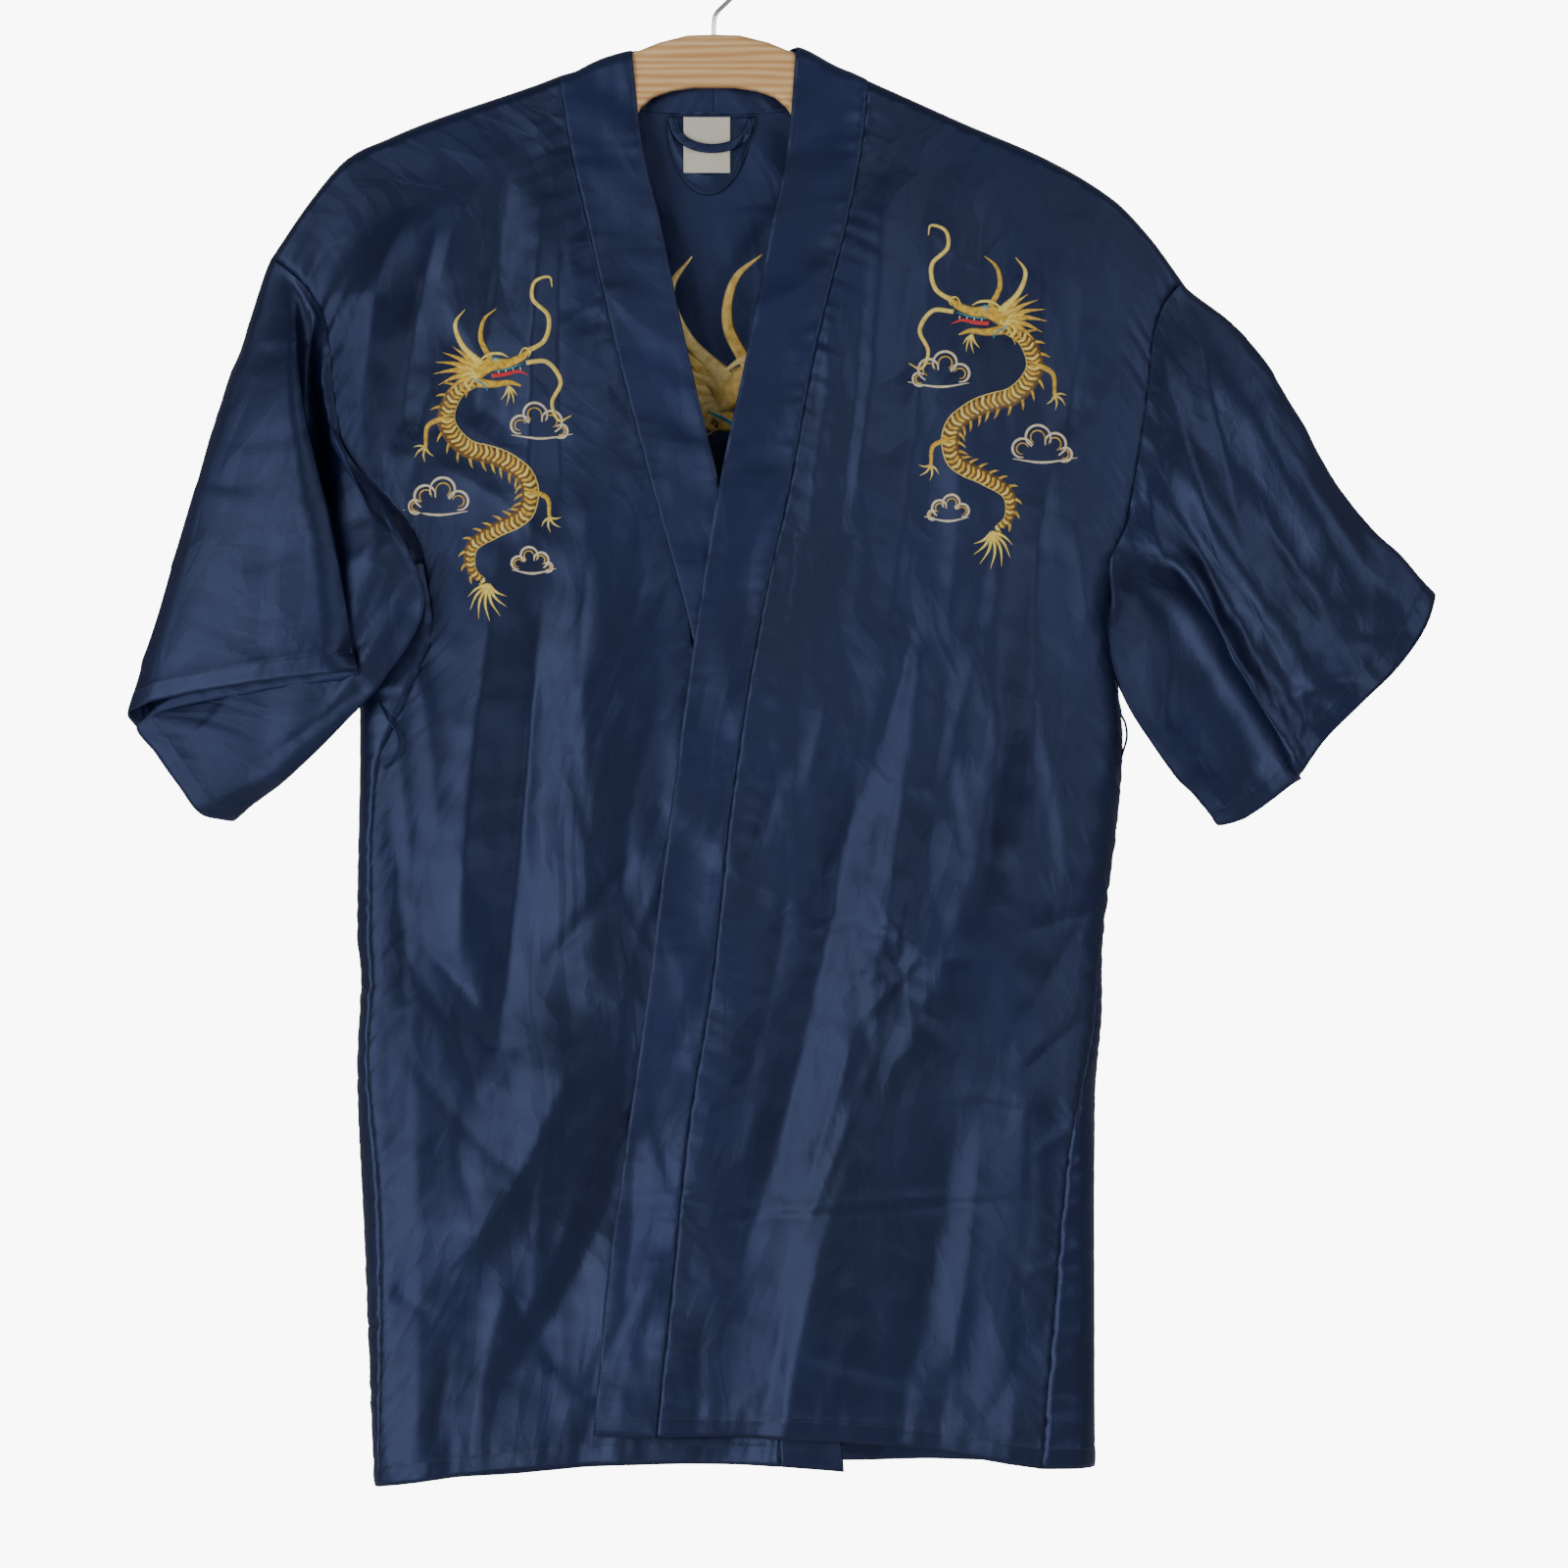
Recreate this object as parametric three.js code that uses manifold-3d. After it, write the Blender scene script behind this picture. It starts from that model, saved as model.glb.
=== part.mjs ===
// A short satin kimono robe on a wooden hanger, hung up and seen from the front.
// Millimetres, +Z up, front towards -Y, +X to the viewer's right. The origin is where the
// hook's crown sits on its rail. "down" is the distance below that rail, so z = -down.
import * as THREE from "three";
import { mergeVertices } from "three/addons/utils/BufferGeometryUtils.js";
import Module from "manifold-3d";

const wasm = await Module();
wasm.setup();

// Cloth walls and the gaps between sewn pieces.
const SATIN_WALL = 1.2;
const BAND_WALL = 2.0;
const TRIM_WALL = 1.0;
const LABEL_WALL = 0.8;
const LOOP_WALL = 2.2;
const SEAM_GAP = 0.3;
const ARMHOLE_GAP = 0.95;

// How far the hung cloth stands from the hanger's middle plane, front and back.
const ARM_DEPTH = 9.6;
const UNDER_FRONT_DEPTH = 17.5;
const OVER_FRONT_DEPTH = 22;
const BACK_DEPTH = 20;
const SHOULDER_ROLL = 10;
const FILL_OUT_OVER = 300;
const SIDE_ROLL = 22;

// The neck: half its width between the band seams, and the free edges of the band above it.
const NECK_SEAM_HALF = 119;
const NECK_SEAM_DOWN = 120;
const BAND_TOP_HALF = 63;
const BAND_TOP_DOWN = 70.5;
const BAND_TOP_DEPTH = 10.4;

// The wooden hanger and its hook.
const HANGER_THICK = 14;
const HANGER_ROUND = 4;
const HOOK_WIRE = 3.6;
const HOOK_RADIUS = 18;
const HOOK_HOLE = 4.4;
const HOOK_IN_WOOD = 18;

// The top outline of the robe from one armhole to the other.
const SHOULDER_LINE = [
  { x: -340, down: 232 },
  { x: -309, down: 187 },
  { x: -282, down: 156 },
  { x: -250, down: 140 },
  { x: -213, down: 125 },
  { x: -137, down: 99 },
  { x: -64, down: 72 },
  { x: 0, down: 66 },
  { x: 64, down: 72 },
  { x: 122, down: 97 },
  { x: 189, down: 127 },
  { x: 258, down: 157 },
  { x: 307, down: 187 },
  { x: 335, down: 216 },
  { x: 360, down: 250 },
];

// The body's outer edge on the viewer's left and right: armhole seam, then hanging side.
const LEFT_EDGE = [
  { down: 232, x: -340 },
  { down: 253, x: -315 },
  { down: 281, x: -299 },
  { down: 336, x: -291 },
  { down: 379, x: -286 },
  { down: 466, x: -280 },
  { down: 583, x: -272 },
  { down: 756, x: -274 },
  { down: 786, x: -271 },
  { down: 860, x: -274 },
  { down: 996, x: -268 },
  { down: 1180, x: -261 },
];
const RIGHT_EDGE = [
  { down: 250, x: 360 },
  { down: 268, x: 346 },
  { down: 291, x: 338 },
  { down: 336, x: 333 },
  { down: 396, x: 324 },
  { down: 463, x: 312 },
  { down: 500, x: 304 },
  { down: 535, x: 305 },
  { down: 565, x: 311 },
  { down: 606, x: 314 },
  { down: 666, x: 310 },
  { down: 756, x: 299 },
  { down: 816, x: 298 },
  { down: 876, x: 293 },
  { down: 1180, x: 293 },
];

// How far the side seam lies in from the outer edge, on the front of the robe.
const LEFT_SEAM_IN = [
  { down: 466, inset: 58 },
  { down: 520, inset: 60 },
  { down: 570, inset: 38 },
  { down: 625, inset: 14 },
  { down: 762, inset: 11 },
  { down: 827, inset: 8 },
  { down: 958, inset: 14 },
  { down: 1180, inset: 4 },
];
const RIGHT_SEAM_IN = [
  { down: 463, inset: 0 },
  { down: 500, inset: 0.2 },
  { down: 740, inset: 1.4 },
  { down: 811, inset: 7 },
  { down: 863, inset: 12 },
  { down: 928, inset: 22 },
  { down: 1006, inset: 29 },
  { down: 1180, inset: 44 },
];

// How far the armhole seam lies in from the outer edge: on the front, and where the back panel
// comes round under the arm. On the viewer's left the sleeve has swung forward over the front.
const LEFT_ARM_IN = [
  { down: 232, front: 0, back: 0 },
  { down: 330, front: 0, back: 0 },
  { down: 379, front: 3, back: 0 },
  { down: 421, front: 36, back: 0 },
  { down: 440, front: 49, back: 4 },
  { down: 450, front: 54, back: 16 },
  { down: 458, front: 57, back: 36 },
  { down: 466, front: 58, back: 58 },
];
const RIGHT_ARM_IN = [
  { down: 250, front: 0, back: 0 },
  { down: 463, front: 0, back: 0 },
];

// Each side of the body. The wearer's left front, on the viewer's right, lies on top.
const SIDES = {
  left: {
    sign: -1,
    edge: LEFT_EDGE,
    seam: LEFT_SEAM_IN,
    arm: LEFT_ARM_IN,
    swing: 11,
    shoulder: 232,
    underarm: 466,
    hem: 1175,
  },
  right: {
    sign: 1,
    edge: RIGHT_EDGE,
    seam: RIGHT_SEAM_IN,
    arm: RIGHT_ARM_IN,
    swing: 0,
    shoulder: 250,
    underarm: 463,
    hem: 1160,
  },
};

// The front bands from the shoulder to the hem: height on the side of the body that lies
// level with the row, seam to the panel, and free edge.
const OVER_BAND = [
  { sideDown: 250, seamX: 119, seamDown: 95.5, edgeX: 63, edgeDown: 71.8 },
  { sideDown: 277, seamX: 113, seamDown: 152, edgeX: 57, edgeDown: 146 },
  { sideDown: 306, seamX: 102, seamDown: 205, edgeX: 47, edgeDown: 196 },
  { sideDown: 360, seamX: 79, seamDown: 298, edgeX: 30, edgeDown: 284 },
  { sideDown: 436, seamX: 58, seamDown: 409, edgeX: 5, edgeDown: 404 },
  { sideDown: 530, seamX: 35, seamDown: 516, edgeX: -13, edgeDown: 514 },
  { sideDown: 658, seamX: 14, seamDown: 649, edgeX: -31, edgeDown: 646 },
  { sideDown: 790, seamX: -1, seamDown: 786, edgeX: -49, edgeDown: 786 },
  { sideDown: 908, seamX: -20, seamDown: 905, edgeX: -66, edgeDown: 905 },
  { sideDown: 1024, seamX: -31, seamDown: 1015, edgeX: -81, edgeDown: 1013 },
  { sideDown: 1160, seamX: -44, seamDown: 1136, edgeX: -92, edgeDown: 1135 },
];
const UNDER_BAND = [
  { sideDown: 232, seamX: -119, seamDown: 95.5, edgeX: -63, edgeDown: 71.8 },
  { sideDown: 262, seamX: -110, seamDown: 150, edgeX: -55, edgeDown: 146 },
  { sideDown: 294, seamX: -98, seamDown: 202, edgeX: -43, edgeDown: 196 },
  { sideDown: 352, seamX: -76, seamDown: 298, edgeX: -23, edgeDown: 290 },
  { sideDown: 434, seamX: -48, seamDown: 406, edgeX: 3, edgeDown: 400 },
  { sideDown: 530, seamX: -18, seamDown: 516, edgeX: 32, edgeDown: 510 },
  { sideDown: 660, seamX: 9, seamDown: 650, edgeX: 58, edgeDown: 646 },
  { sideDown: 794, seamX: 23, seamDown: 786, edgeX: 72, edgeDown: 786 },
  { sideDown: 912, seamX: 33, seamDown: 905, edgeX: 82, edgeDown: 905 },
  { sideDown: 1036, seamX: 42, seamDown: 1028, edgeX: 91, edgeDown: 1030 },
  { sideDown: 1175, seamX: 52, seamDown: 1158, edgeX: 100, edgeDown: 1163 },
];
const OVER_HEM_LIFT = 8;
const UNDER_HEM_LIFT = 8;
const BACK_HEM_LIFT = 8;

// The large hanging folds. Each runs from its head to its foot by way of its middle, given as x
// and down, is as wide as its left and right flanks say, and stands proud towards the viewer, or
// sinks back where deep is negative. On the back they stand away from the wearer instead.
const FRONT_FOLDS = [
  { head: [-188, 135], mid: [-236, 205], foot: [-284, 300], flanks: [34, 26], deep: 9 },
  { head: [-312, 212], mid: [-306, 245], foot: [-300, 300], flanks: [12, 10], deep: -6 },
  { head: [-150, 120], mid: [-168, 260], foot: [-196, 420], flanks: [30, 20], deep: -7 },
  { head: [-128, 110], mid: [-138, 300], foot: [-150, 470], flanks: [18, 26], deep: 6 },
  { head: [-160, 430], mid: [-184, 620], foot: [-196, 800], flanks: [30, 16], deep: 10 },
  { head: [-128, 470], mid: [-150, 690], foot: [-170, 880], flanks: [14, 24], deep: -9 },
  { head: [-96, 380], mid: [-98, 640], foot: [-90, 820], flanks: [24, 30], deep: 6 },
  { head: [-92, 800], mid: [-138, 915], foot: [-205, 1020], flanks: [24, 26], deep: 9 },
  { head: [-70, 860], mid: [-110, 990], foot: [-190, 1110], flanks: [26, 34], deep: -8 },
  { head: [-232, 760], mid: [-226, 960], foot: [-228, 1190], flanks: [24, 26], deep: 5 },
  { head: [-40, 960], mid: [-62, 1060], foot: [-80, 1190], flanks: [26, 26], deep: 4 },
  { head: [132, 115], mid: [124, 290], foot: [100, 470], flanks: [26, 20], deep: 6 },
  { head: [168, 190], mid: [150, 400], foot: [128, 560], flanks: [18, 30], deep: -7 },
  { head: [160, 480], mid: [140, 680], foot: [112, 850], flanks: [20, 24], deep: 8 },
  { head: [118, 560], mid: [78, 800], foot: [10, 1040], flanks: [24, 18], deep: -8 },
  { head: [214, 440], mid: [196, 720], foot: [118, 900], flanks: [26, 36], deep: 8 },
  { head: [130, 850], mid: [86, 980], foot: [44, 1180], flanks: [20, 44], deep: 8 },
  { head: [190, 860], mid: [170, 1000], foot: [130, 1180], flanks: [40, 40], deep: -6 },
  { head: [246, 380], mid: [244, 560], foot: [240, 740], flanks: [22, 22], deep: -6 },
  { head: [236, 780], mid: [236, 980], foot: [222, 1190], flanks: [28, 22], deep: 6 },
];
const BACK_FOLDS = [
  { head: [-210, 170], mid: [-226, 420], foot: [-214, 760], flanks: [34, 30], deep: 8 },
  { head: [-150, 220], mid: [-160, 600], foot: [-150, 1190], flanks: [26, 34], deep: -7 },
  { head: [-90, 420], mid: [-96, 800], foot: [-104, 1190], flanks: [32, 30], deep: 8 },
  { head: [-24, 230], mid: [-22, 500], foot: [-30, 1190], flanks: [22, 26], deep: -6 },
  { head: [40, 380], mid: [46, 760], foot: [42, 1190], flanks: [32, 28], deep: 8 },
  { head: [108, 240], mid: [106, 620], foot: [104, 1190], flanks: [28, 30], deep: -7 },
  { head: [190, 180], mid: [184, 520], foot: [170, 1190], flanks: [34, 38], deep: 9 },
  { head: [250, 420], mid: [246, 800], foot: [238, 1190], flanks: [26, 22], deep: -5 },
];

// The sleeves: each row is one lengthwise fold line of the tube, in order round it. Its root is
// how far down the armhole it starts, negative on the back. Upper, lower and cuff give x, y and
// down at a third, two thirds and the whole of the sleeve's length.
const RIGHT_SLEEVE = [
  { line: "top fold", root: 0, upper: [411, -2, 294], lower: [484, -3, 411], cuff: [555, -3, 490] },
  { line: "slope", root: 0.2, upper: [398, -15, 326], lower: [465, -18, 434], cuff: [547, -14, 514] },
  { line: "hollow", root: 0.38, upper: [392, -14, 376], lower: [450, -15, 468], cuff: [525, -17, 546] },
  { line: "ridge", root: 0.56, upper: [373, -25, 418], lower: [430, -27, 508], cuff: [494, -22, 576] },
  { line: "dip", root: 0.72, upper: [364, -17, 452], lower: [416, -18, 536], cuff: [466, -17, 605] },
  { line: "crest", root: 0.86, upper: [359, -25, 486], lower: [403, -26, 560], cuff: [448, -23, 631] },
  { line: "crest back", root: 0.93, upper: [350, -16, 479], lower: [392, -14, 558], cuff: [438, -13, 637] },
  { line: "underside", root: 0.98, upper: [334, -22, 507], lower: [364, -17, 589], cuff: [414, -9, 661] },
  { line: "bottom fold", root: -0.97, upper: [314, -24, 543], lower: [344, -6, 607], cuff: [388, 4, 668] },
  { line: "back low", root: -0.82, upper: [338, 16, 505], lower: [370, 19, 590], cuff: [412, 15, 652] },
  { line: "back mid", root: -0.6, upper: [356, 25, 446], lower: [406, 24, 540], cuff: [456, 18, 612] },
  { line: "back dip", root: -0.4, upper: [386, 18, 385], lower: [443, 18, 470], cuff: [506, 14, 564] },
  { line: "back high", root: -0.2, upper: [399, 15, 324], lower: [466, 15, 432], cuff: [546, 10, 516] },
];
const LEFT_SLEEVE = [
  { line: "top fold", root: 0, upper: [-377, -8, 343], lower: [-412, -12, 460], cuff: [-448, -14, 581] },
  { line: "flap", root: 0.05, upper: [-348, -25, 345], lower: [-352, -35, 462], cuff: [-358, -38, 560] },
  { line: "flap edge", root: 0.1, upper: [-313, -33, 332], lower: [-288, -43, 440], cuff: [-267, -44, 551] },
  { line: "tuck", root: 0.18, upper: [-312, -18, 350], lower: [-328, -34, 470], cuff: [-350, -34, 566] },
  { line: "valley", root: 0.3, upper: [-312, -14, 368], lower: [-356, -26, 500], cuff: [-441, -25, 591] },
  { line: "ridge", root: 0.48, upper: [-290, -27, 392], lower: [-318, -31, 530], cuff: [-426, -27, 613] },
  { line: "low", root: 0.66, upper: [-262, -36, 430], lower: [-298, -36, 558], cuff: [-409, -27, 637] },
  { line: "low dip", root: 0.82, upper: [-238, -37, 470], lower: [-284, -36, 580], cuff: [-392, -22, 659] },
  { line: "low edge", root: 0.93, upper: [-221, -37, 506], lower: [-288, -30, 597], cuff: [-368, -9, 664] },
  { line: "tuck", root: 0.99, upper: [-262, -30, 512], lower: [-312, -16, 586], cuff: [-384, 0, 655] },
  { line: "side", root: -0.92, upper: [-298, -15, 488], lower: [-334, -2, 578], cuff: [-394, 4, 648] },
  { line: "back low", root: -0.8, upper: [-306, 10, 452], lower: [-344, 11, 558], cuff: [-404, 6, 637] },
  { line: "back mid", root: -0.5, upper: [-326, 20, 404], lower: [-374, 18, 512], cuff: [-424, 8, 614] },
  { line: "back high", root: -0.2, upper: [-358, 14, 350], lower: [-402, 8, 470], cuff: [-442, -2, 594] },
];

// The small pieces inside the neck. Off is how far forward of the back panel's middle each one
// lies at the seam, and hang further down.
const PATCH = { x: -4, half: 33, drop: 60, off: 1.5 };
const LABEL = { x: -5.5, width: 36, height: 43, off: 2.75, hang: 3 };
const LOOP = { left: -35, right: 32, width: 7, drop: 28, off: 3.3, hang: 5.4 };

// The thread loops for the belt, by how far they stand off the front.
const BELT_LOOP_CORD = 2.2;
const BELT_LOOP_LEFT = [
  { x: 309, down: 573, out: 1.4 },
  { x: 311.5, down: 581, out: 6 },
  { x: 316, down: 590, out: 9 },
  { x: 317, down: 600, out: 10 },
  { x: 314, down: 612, out: 7 },
  { x: 311, down: 622, out: 1.4 },
];
const BELT_LOOP_RIGHT = [
  { x: -257, down: 573, out: 1.4 },
  { x: -249, down: 586, out: 5 },
  { x: -241, down: 598, out: 7 },
  { x: -240, down: 608, out: 7 },
  { x: -246, down: 618, out: 4 },
  { x: -252, down: 624, out: 1.4 },
];

// The hanger's outline, top edge from the middle outwards, then the under edge back inwards.
const HANGER_TOP = [
  { x: 0, down: 60 },
  { x: 20, down: 60.5 },
  { x: 42, down: 66 },
  { x: 64, down: 75 },
  { x: 92, down: 86.8 },
  { x: 122, down: 100 },
  { x: 156, down: 115.4 },
  { x: 189, down: 130.4 },
  { x: 220, down: 144 },
  { x: 230, down: 150 },
  { x: 234, down: 158 },
];
const HANGER_UNDER = [
  { x: 230, down: 167 },
  { x: 220, down: 170 },
  { x: 150, down: 152 },
  { x: 84, down: 138 },
  { x: 70, down: 134 },
  { x: 63, down: 127 },
  { x: 56, down: 116 },
  { x: 47, down: 108 },
  { x: 33, down: 103 },
  { x: 16, down: 100.5 },
];

// The hook's stem, from the end of its arc down into the wood.
const HOOK_STEM = [
  { x: 9, down: 36 },
  { x: 1.5, down: 44 },
  { x: 0, down: 54 },
  { x: 0, down: 66 },
  { x: 0, down: 77 },
];

const clamp = (value, low, high) => Math.min(high, Math.max(low, value));
const mix = (a, b, t) => a + (b - a) * t;
const ease = (t) => {
  const c = clamp(t, 0, 1);
  return c * c * (3 - 2 * c);
};
// A quarter round: 0 at the edge, 1 from the given distance inwards.
const roll = (distance, radius) => {
  const c = 1 - clamp(distance / radius, 0, 1);
  return Math.sqrt(1 - c * c);
};

// A smooth value of one named column at a place in a table, by the key column.
function read(rows, key, place, column) {
  const last = rows.length - 1;
  const p = clamp(place, rows[0][key], rows[last][key]);
  let i = 0;
  while (i < last - 1 && p > rows[i + 1][key]) i++;
  const slope = (k) => {
    const a = rows[Math.max(0, k - 1)];
    const b = rows[Math.min(last, k + 1)];
    return (b[column] - a[column]) / (b[key] - a[key]);
  };
  const span = rows[i + 1][key] - rows[i][key];
  const t = (p - rows[i][key]) / span;
  const [t2, t3] = [t * t, t * t * t];
  return (
    (2 * t3 - 3 * t2 + 1) * rows[i][column] +
    (t3 - 2 * t2 + t) * span * slope(i) +
    (3 * t2 - 2 * t3) * rows[i + 1][column] +
    (t3 - t2) * span * slope(i + 1)
  );
}

const shoulderDown = (x) => read(SHOULDER_LINE, "x", x, "down");
const edgeX = (side, down) => read(side.edge, "down", down, "x");
// The side seam's and the armhole seam's distance in from the outer edge, for one panel.
const seamInset = (side, down, panel) =>
  down > side.underarm
    ? Math.max(0, read(side.seam, "down", down, "inset"))
    : Math.max(0, read(side.arm, "down", down, panel));

// How far all the folds of a table push the cloth out at a place.
function foldHeight(folds, x, down) {
  let height = 0;
  for (const f of folds) {
    const [headX, headDown] = f.head;
    const [midX, midDown] = f.mid;
    const [footX, footDown] = f.foot;
    const length = footDown - headDown;
    const along = (down - headDown) / length;
    if (along <= 0 || along >= 1) continue;
    const bend = midX - mix(headX, footX, (midDown - headDown) / length);
    const off = x - (mix(headX, footX, along) + bend * Math.sin(Math.PI * along));
    const flank = off < 0 ? f.flanks[0] : f.flanks[1];
    const tail = footDown > 1150 ? 1 : ease((1 - along) / 0.25);
    height += f.deep * Math.min(ease(along / 0.3), tail) * Math.exp(-((off / flank) ** 2));
  }
  return height;
}

// The share of its full depth that the cloth has near the body's outer edge.
function sideShare(x, down) {
  const side = x < 0 ? SIDES.left : SIDES.right;
  const inwards = Math.max(0, side.sign * (edgeX(side, down) - x));
  const t = clamp((down - side.shoulder) / (side.underarm - side.shoulder), 0, 1);
  const atEdge = Math.cbrt(Math.max(0, Math.sin(Math.PI * t)));
  return atEdge + (1 - atEdge) * roll(inwards, SIDE_ROLL);
}

// The depth of the front (sign -1) or back (sign 1) cloth's middle surface.
function clothY(sign, fullDepth, folds, x, down) {
  const below = Math.max(0, down - shoulderDown(x));
  const hung = mix(ARM_DEPTH, fullDepth, ease(below / FILL_OUT_OVER));
  const folded = foldHeight(folds, x, down) * ease((below - 15) / 110);
  return sign * (hung * roll(below, SHOULDER_ROLL) + folded) * sideShare(x, down);
}
const overY = (x, down) => clothY(-1, OVER_FRONT_DEPTH, FRONT_FOLDS, x, down);
const underY = (x, down) => clothY(-1, UNDER_FRONT_DEPTH, FRONT_FOLDS, x, down);
const backY = (x, down) => clothY(1, BACK_DEPTH, BACK_FOLDS, x, down);
const point = (x, y, down) => new THREE.Vector3(x, y, -down);

// Round the side fold: cloth walked from its outermost line against distance inwards from it.
const QUARTER_TURN = (SIDE_ROLL * Math.PI) / 2;
const inwardsAfter = (walked) =>
  Math.abs(walked) < QUARTER_TURN
    ? SIDE_ROLL * (1 - Math.cos(walked / SIDE_ROLL))
    : SIDE_ROLL + Math.abs(walked) - QUARTER_TURN;
const walkedTo = (inwards) =>
  inwards < SIDE_ROLL
    ? SIDE_ROLL * Math.acos(1 - inwards / SIDE_ROLL)
    : QUARTER_TURN + inwards - SIDE_ROLL;
const belowArm = (side, sideDown) => ease((sideDown - side.underarm + 50) / 50);

// Rows of the body from the shoulder by way of the underarm to the hem.
const ARM_ROW_SHARES = [
  0, 0.0025, 0.009, 0.024, 0.05, 0.1, 0.17, 0.25, 0.34, 0.44, 0.56, 0.69, 0.81, 0.89, 0.93, 0.965, 1,
];
const HANG_ROW_COUNT = 17;
const BODY_ROWS = ARM_ROW_SHARES.length + HANG_ROW_COUNT;
function sideDownAt(side, row) {
  const armRows = ARM_ROW_SHARES.length - 1;
  if (row <= armRows) {
    const low = Math.min(Math.floor(row), armRows - 1);
    const share = mix(ARM_ROW_SHARES[low], ARM_ROW_SHARES[low + 1], row - low);
    return mix(side.shoulder, side.underarm, share);
  }
  return mix(side.underarm, side.hem, (row - armRows) / HANG_ROW_COUNT);
}

// How much a row still follows the curve of the shoulder.
const hemShare = (side, sideDown) => (sideDown - side.shoulder) / (side.hem - side.shoulder);
const topFade = (side, sideDown) => (1 - hemShare(side, sideDown)) ** 6;

// A front panel: u runs from the side seam to the band's seam, row from the shoulder to the hem.
function frontPanel(side, band, depthAt, hemLift) {
  return (u, row) => {
    const sideDown = sideDownAt(side, row);
    const share = hemShare(side, sideDown);
    const seamIn = seamInset(side, sideDown, "front");
    const outer = edgeX(side, sideDown);
    const seamX = read(band, "sideDown", sideDown, "seamX");
    const seamDown = read(band, "sideDown", sideDown, "seamDown");
    const width = side.sign * (outer - seamX);
    const calm = mix(seamIn, width, u);
    const rolled = inwardsAfter(mix(walkedTo(seamIn), walkedTo(width), u));
    const x = outer - side.sign * mix(calm, rolled, belowArm(side, sideDown));
    const topX = mix(edgeX(side, side.shoulder), band[0].seamX, u);
    const straightTop = mix(side.shoulder, band[0].seamDown, u);
    const shoulderLift = (shoulderDown(topX) - straightTop) * topFade(side, sideDown);
    const hem = hemLift * Math.sin(Math.PI * u) * share ** 8;
    const down = mix(sideDown, seamDown, u) + shoulderLift - hem;
    return point(x, depthAt(x, down), down);
  };
}

// The back panel: column runs from the left seam round the side, over the back and round to
// the right seam. The columns inside the neck match the rows of the band that stands on them.
const WRAP_COLUMNS = 5;
const SHOULDER_COLUMNS = 6;
const NECK_COLUMNS = 8;
const neckShare = (step) => 1 - (step / NECK_COLUMNS) ** 1.7;
const topHalfWidth = (side) => Math.abs(edgeX(side, side.shoulder)) - SIDE_ROLL;
function topX(column) {
  const middle = SHOULDER_COLUMNS + NECK_COLUMNS;
  const side = column < middle ? SIDES.left : SIDES.right;
  const fromMiddle = Math.abs(column - middle);
  const out = (fromMiddle - NECK_COLUMNS) / SHOULDER_COLUMNS;
  if (out <= 0) return side.sign * NECK_SEAM_HALF * neckShare(NECK_COLUMNS - fromMiddle);
  return side.sign * mix(NECK_SEAM_HALF, topHalfWidth(side), out);
}
function neckSeamDown(x) {
  const share = clamp(Math.abs(x) / NECK_SEAM_HALF, 0, 1);
  return mix(NECK_SEAM_DOWN, shoulderDown(Math.sign(x) * NECK_SEAM_HALF), share ** 3);
}
const backTopDown = (x) => (Math.abs(x) < NECK_SEAM_HALF ? neckSeamDown(x) : shoulderDown(x));
const ACROSS_COLUMNS = 2 * (SHOULDER_COLUMNS + NECK_COLUMNS);
const BACK_COLUMNS = ACROSS_COLUMNS + 2 * WRAP_COLUMNS + 1;

function backPanel(column, row) {
  const leftDown = sideDownAt(SIDES.left, row);
  const rightDown = sideDownAt(SIDES.right, row);
  const leftIn = edgeX(SIDES.left, leftDown) + SIDE_ROLL;
  const rightIn = edgeX(SIDES.right, rightDown) - SIDE_ROLL;
  const fromEnd = Math.min(column, BACK_COLUMNS - 1 - column);
  if (fromEnd < WRAP_COLUMNS) {
    const side = column < BACK_COLUMNS / 2 ? SIDES.left : SIDES.right;
    const sideDown = side === SIDES.left ? leftDown : rightDown;
    const depthAt = side === SIDES.left ? underY : overY;
    const seamIn = seamInset(side, sideDown, "back");
    const open = belowArm(side, sideDown);
    const toMiddle = fromEnd / WRAP_COLUMNS;
    const walked = mix(-walkedTo(seamIn), QUARTER_TURN, toMiddle);
    const outer = edgeX(side, sideDown);
    const down = sideDown + wrapLift(side, sideDown, row, toMiddle);
    const calmX = outer - side.sign * SIDE_ROLL * toMiddle;
    const rolledX = outer - side.sign * inwardsAfter(walked);
    const rolledY = walked < 0 ? depthAt(rolledX, down) : backY(rolledX, down);
    const y = mix(backY(calmX, down), rolledY, open);
    return point(mix(calmX, rolledX, open), y, down);
  }
  const across = column - WRAP_COLUMNS;
  const top = topX(across);
  const topLeft = -topHalfWidth(SIDES.left);
  const share = (top - topLeft) / (topHalfWidth(SIDES.right) - topLeft);
  const x = mix(leftIn, rightIn, share);
  const drop = rowShare(row);
  const level = mix(SIDES.left.hem, SIDES.right.hem, share);
  const hem = level - BACK_HEM_LIFT * Math.sin(Math.PI * share);
  const down = mix(backTopDown(top), hem, drop);
  return point(x, backY(x, down), down);
}
// The share of the way from shoulder to hem, the same for both sides of a row.
const rowShare = (row) => hemShare(SIDES.left, sideDownAt(SIDES.left, row));
// Brings the wrap's rows to the height of the back's first flat column.
function wrapLift(side, sideDown, row, toMiddle) {
  const top = side.sign * topHalfWidth(side);
  const flat = mix(backTopDown(top), side.hem, rowShare(row));
  return (flat - sideDown) * toMiddle;
}

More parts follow.
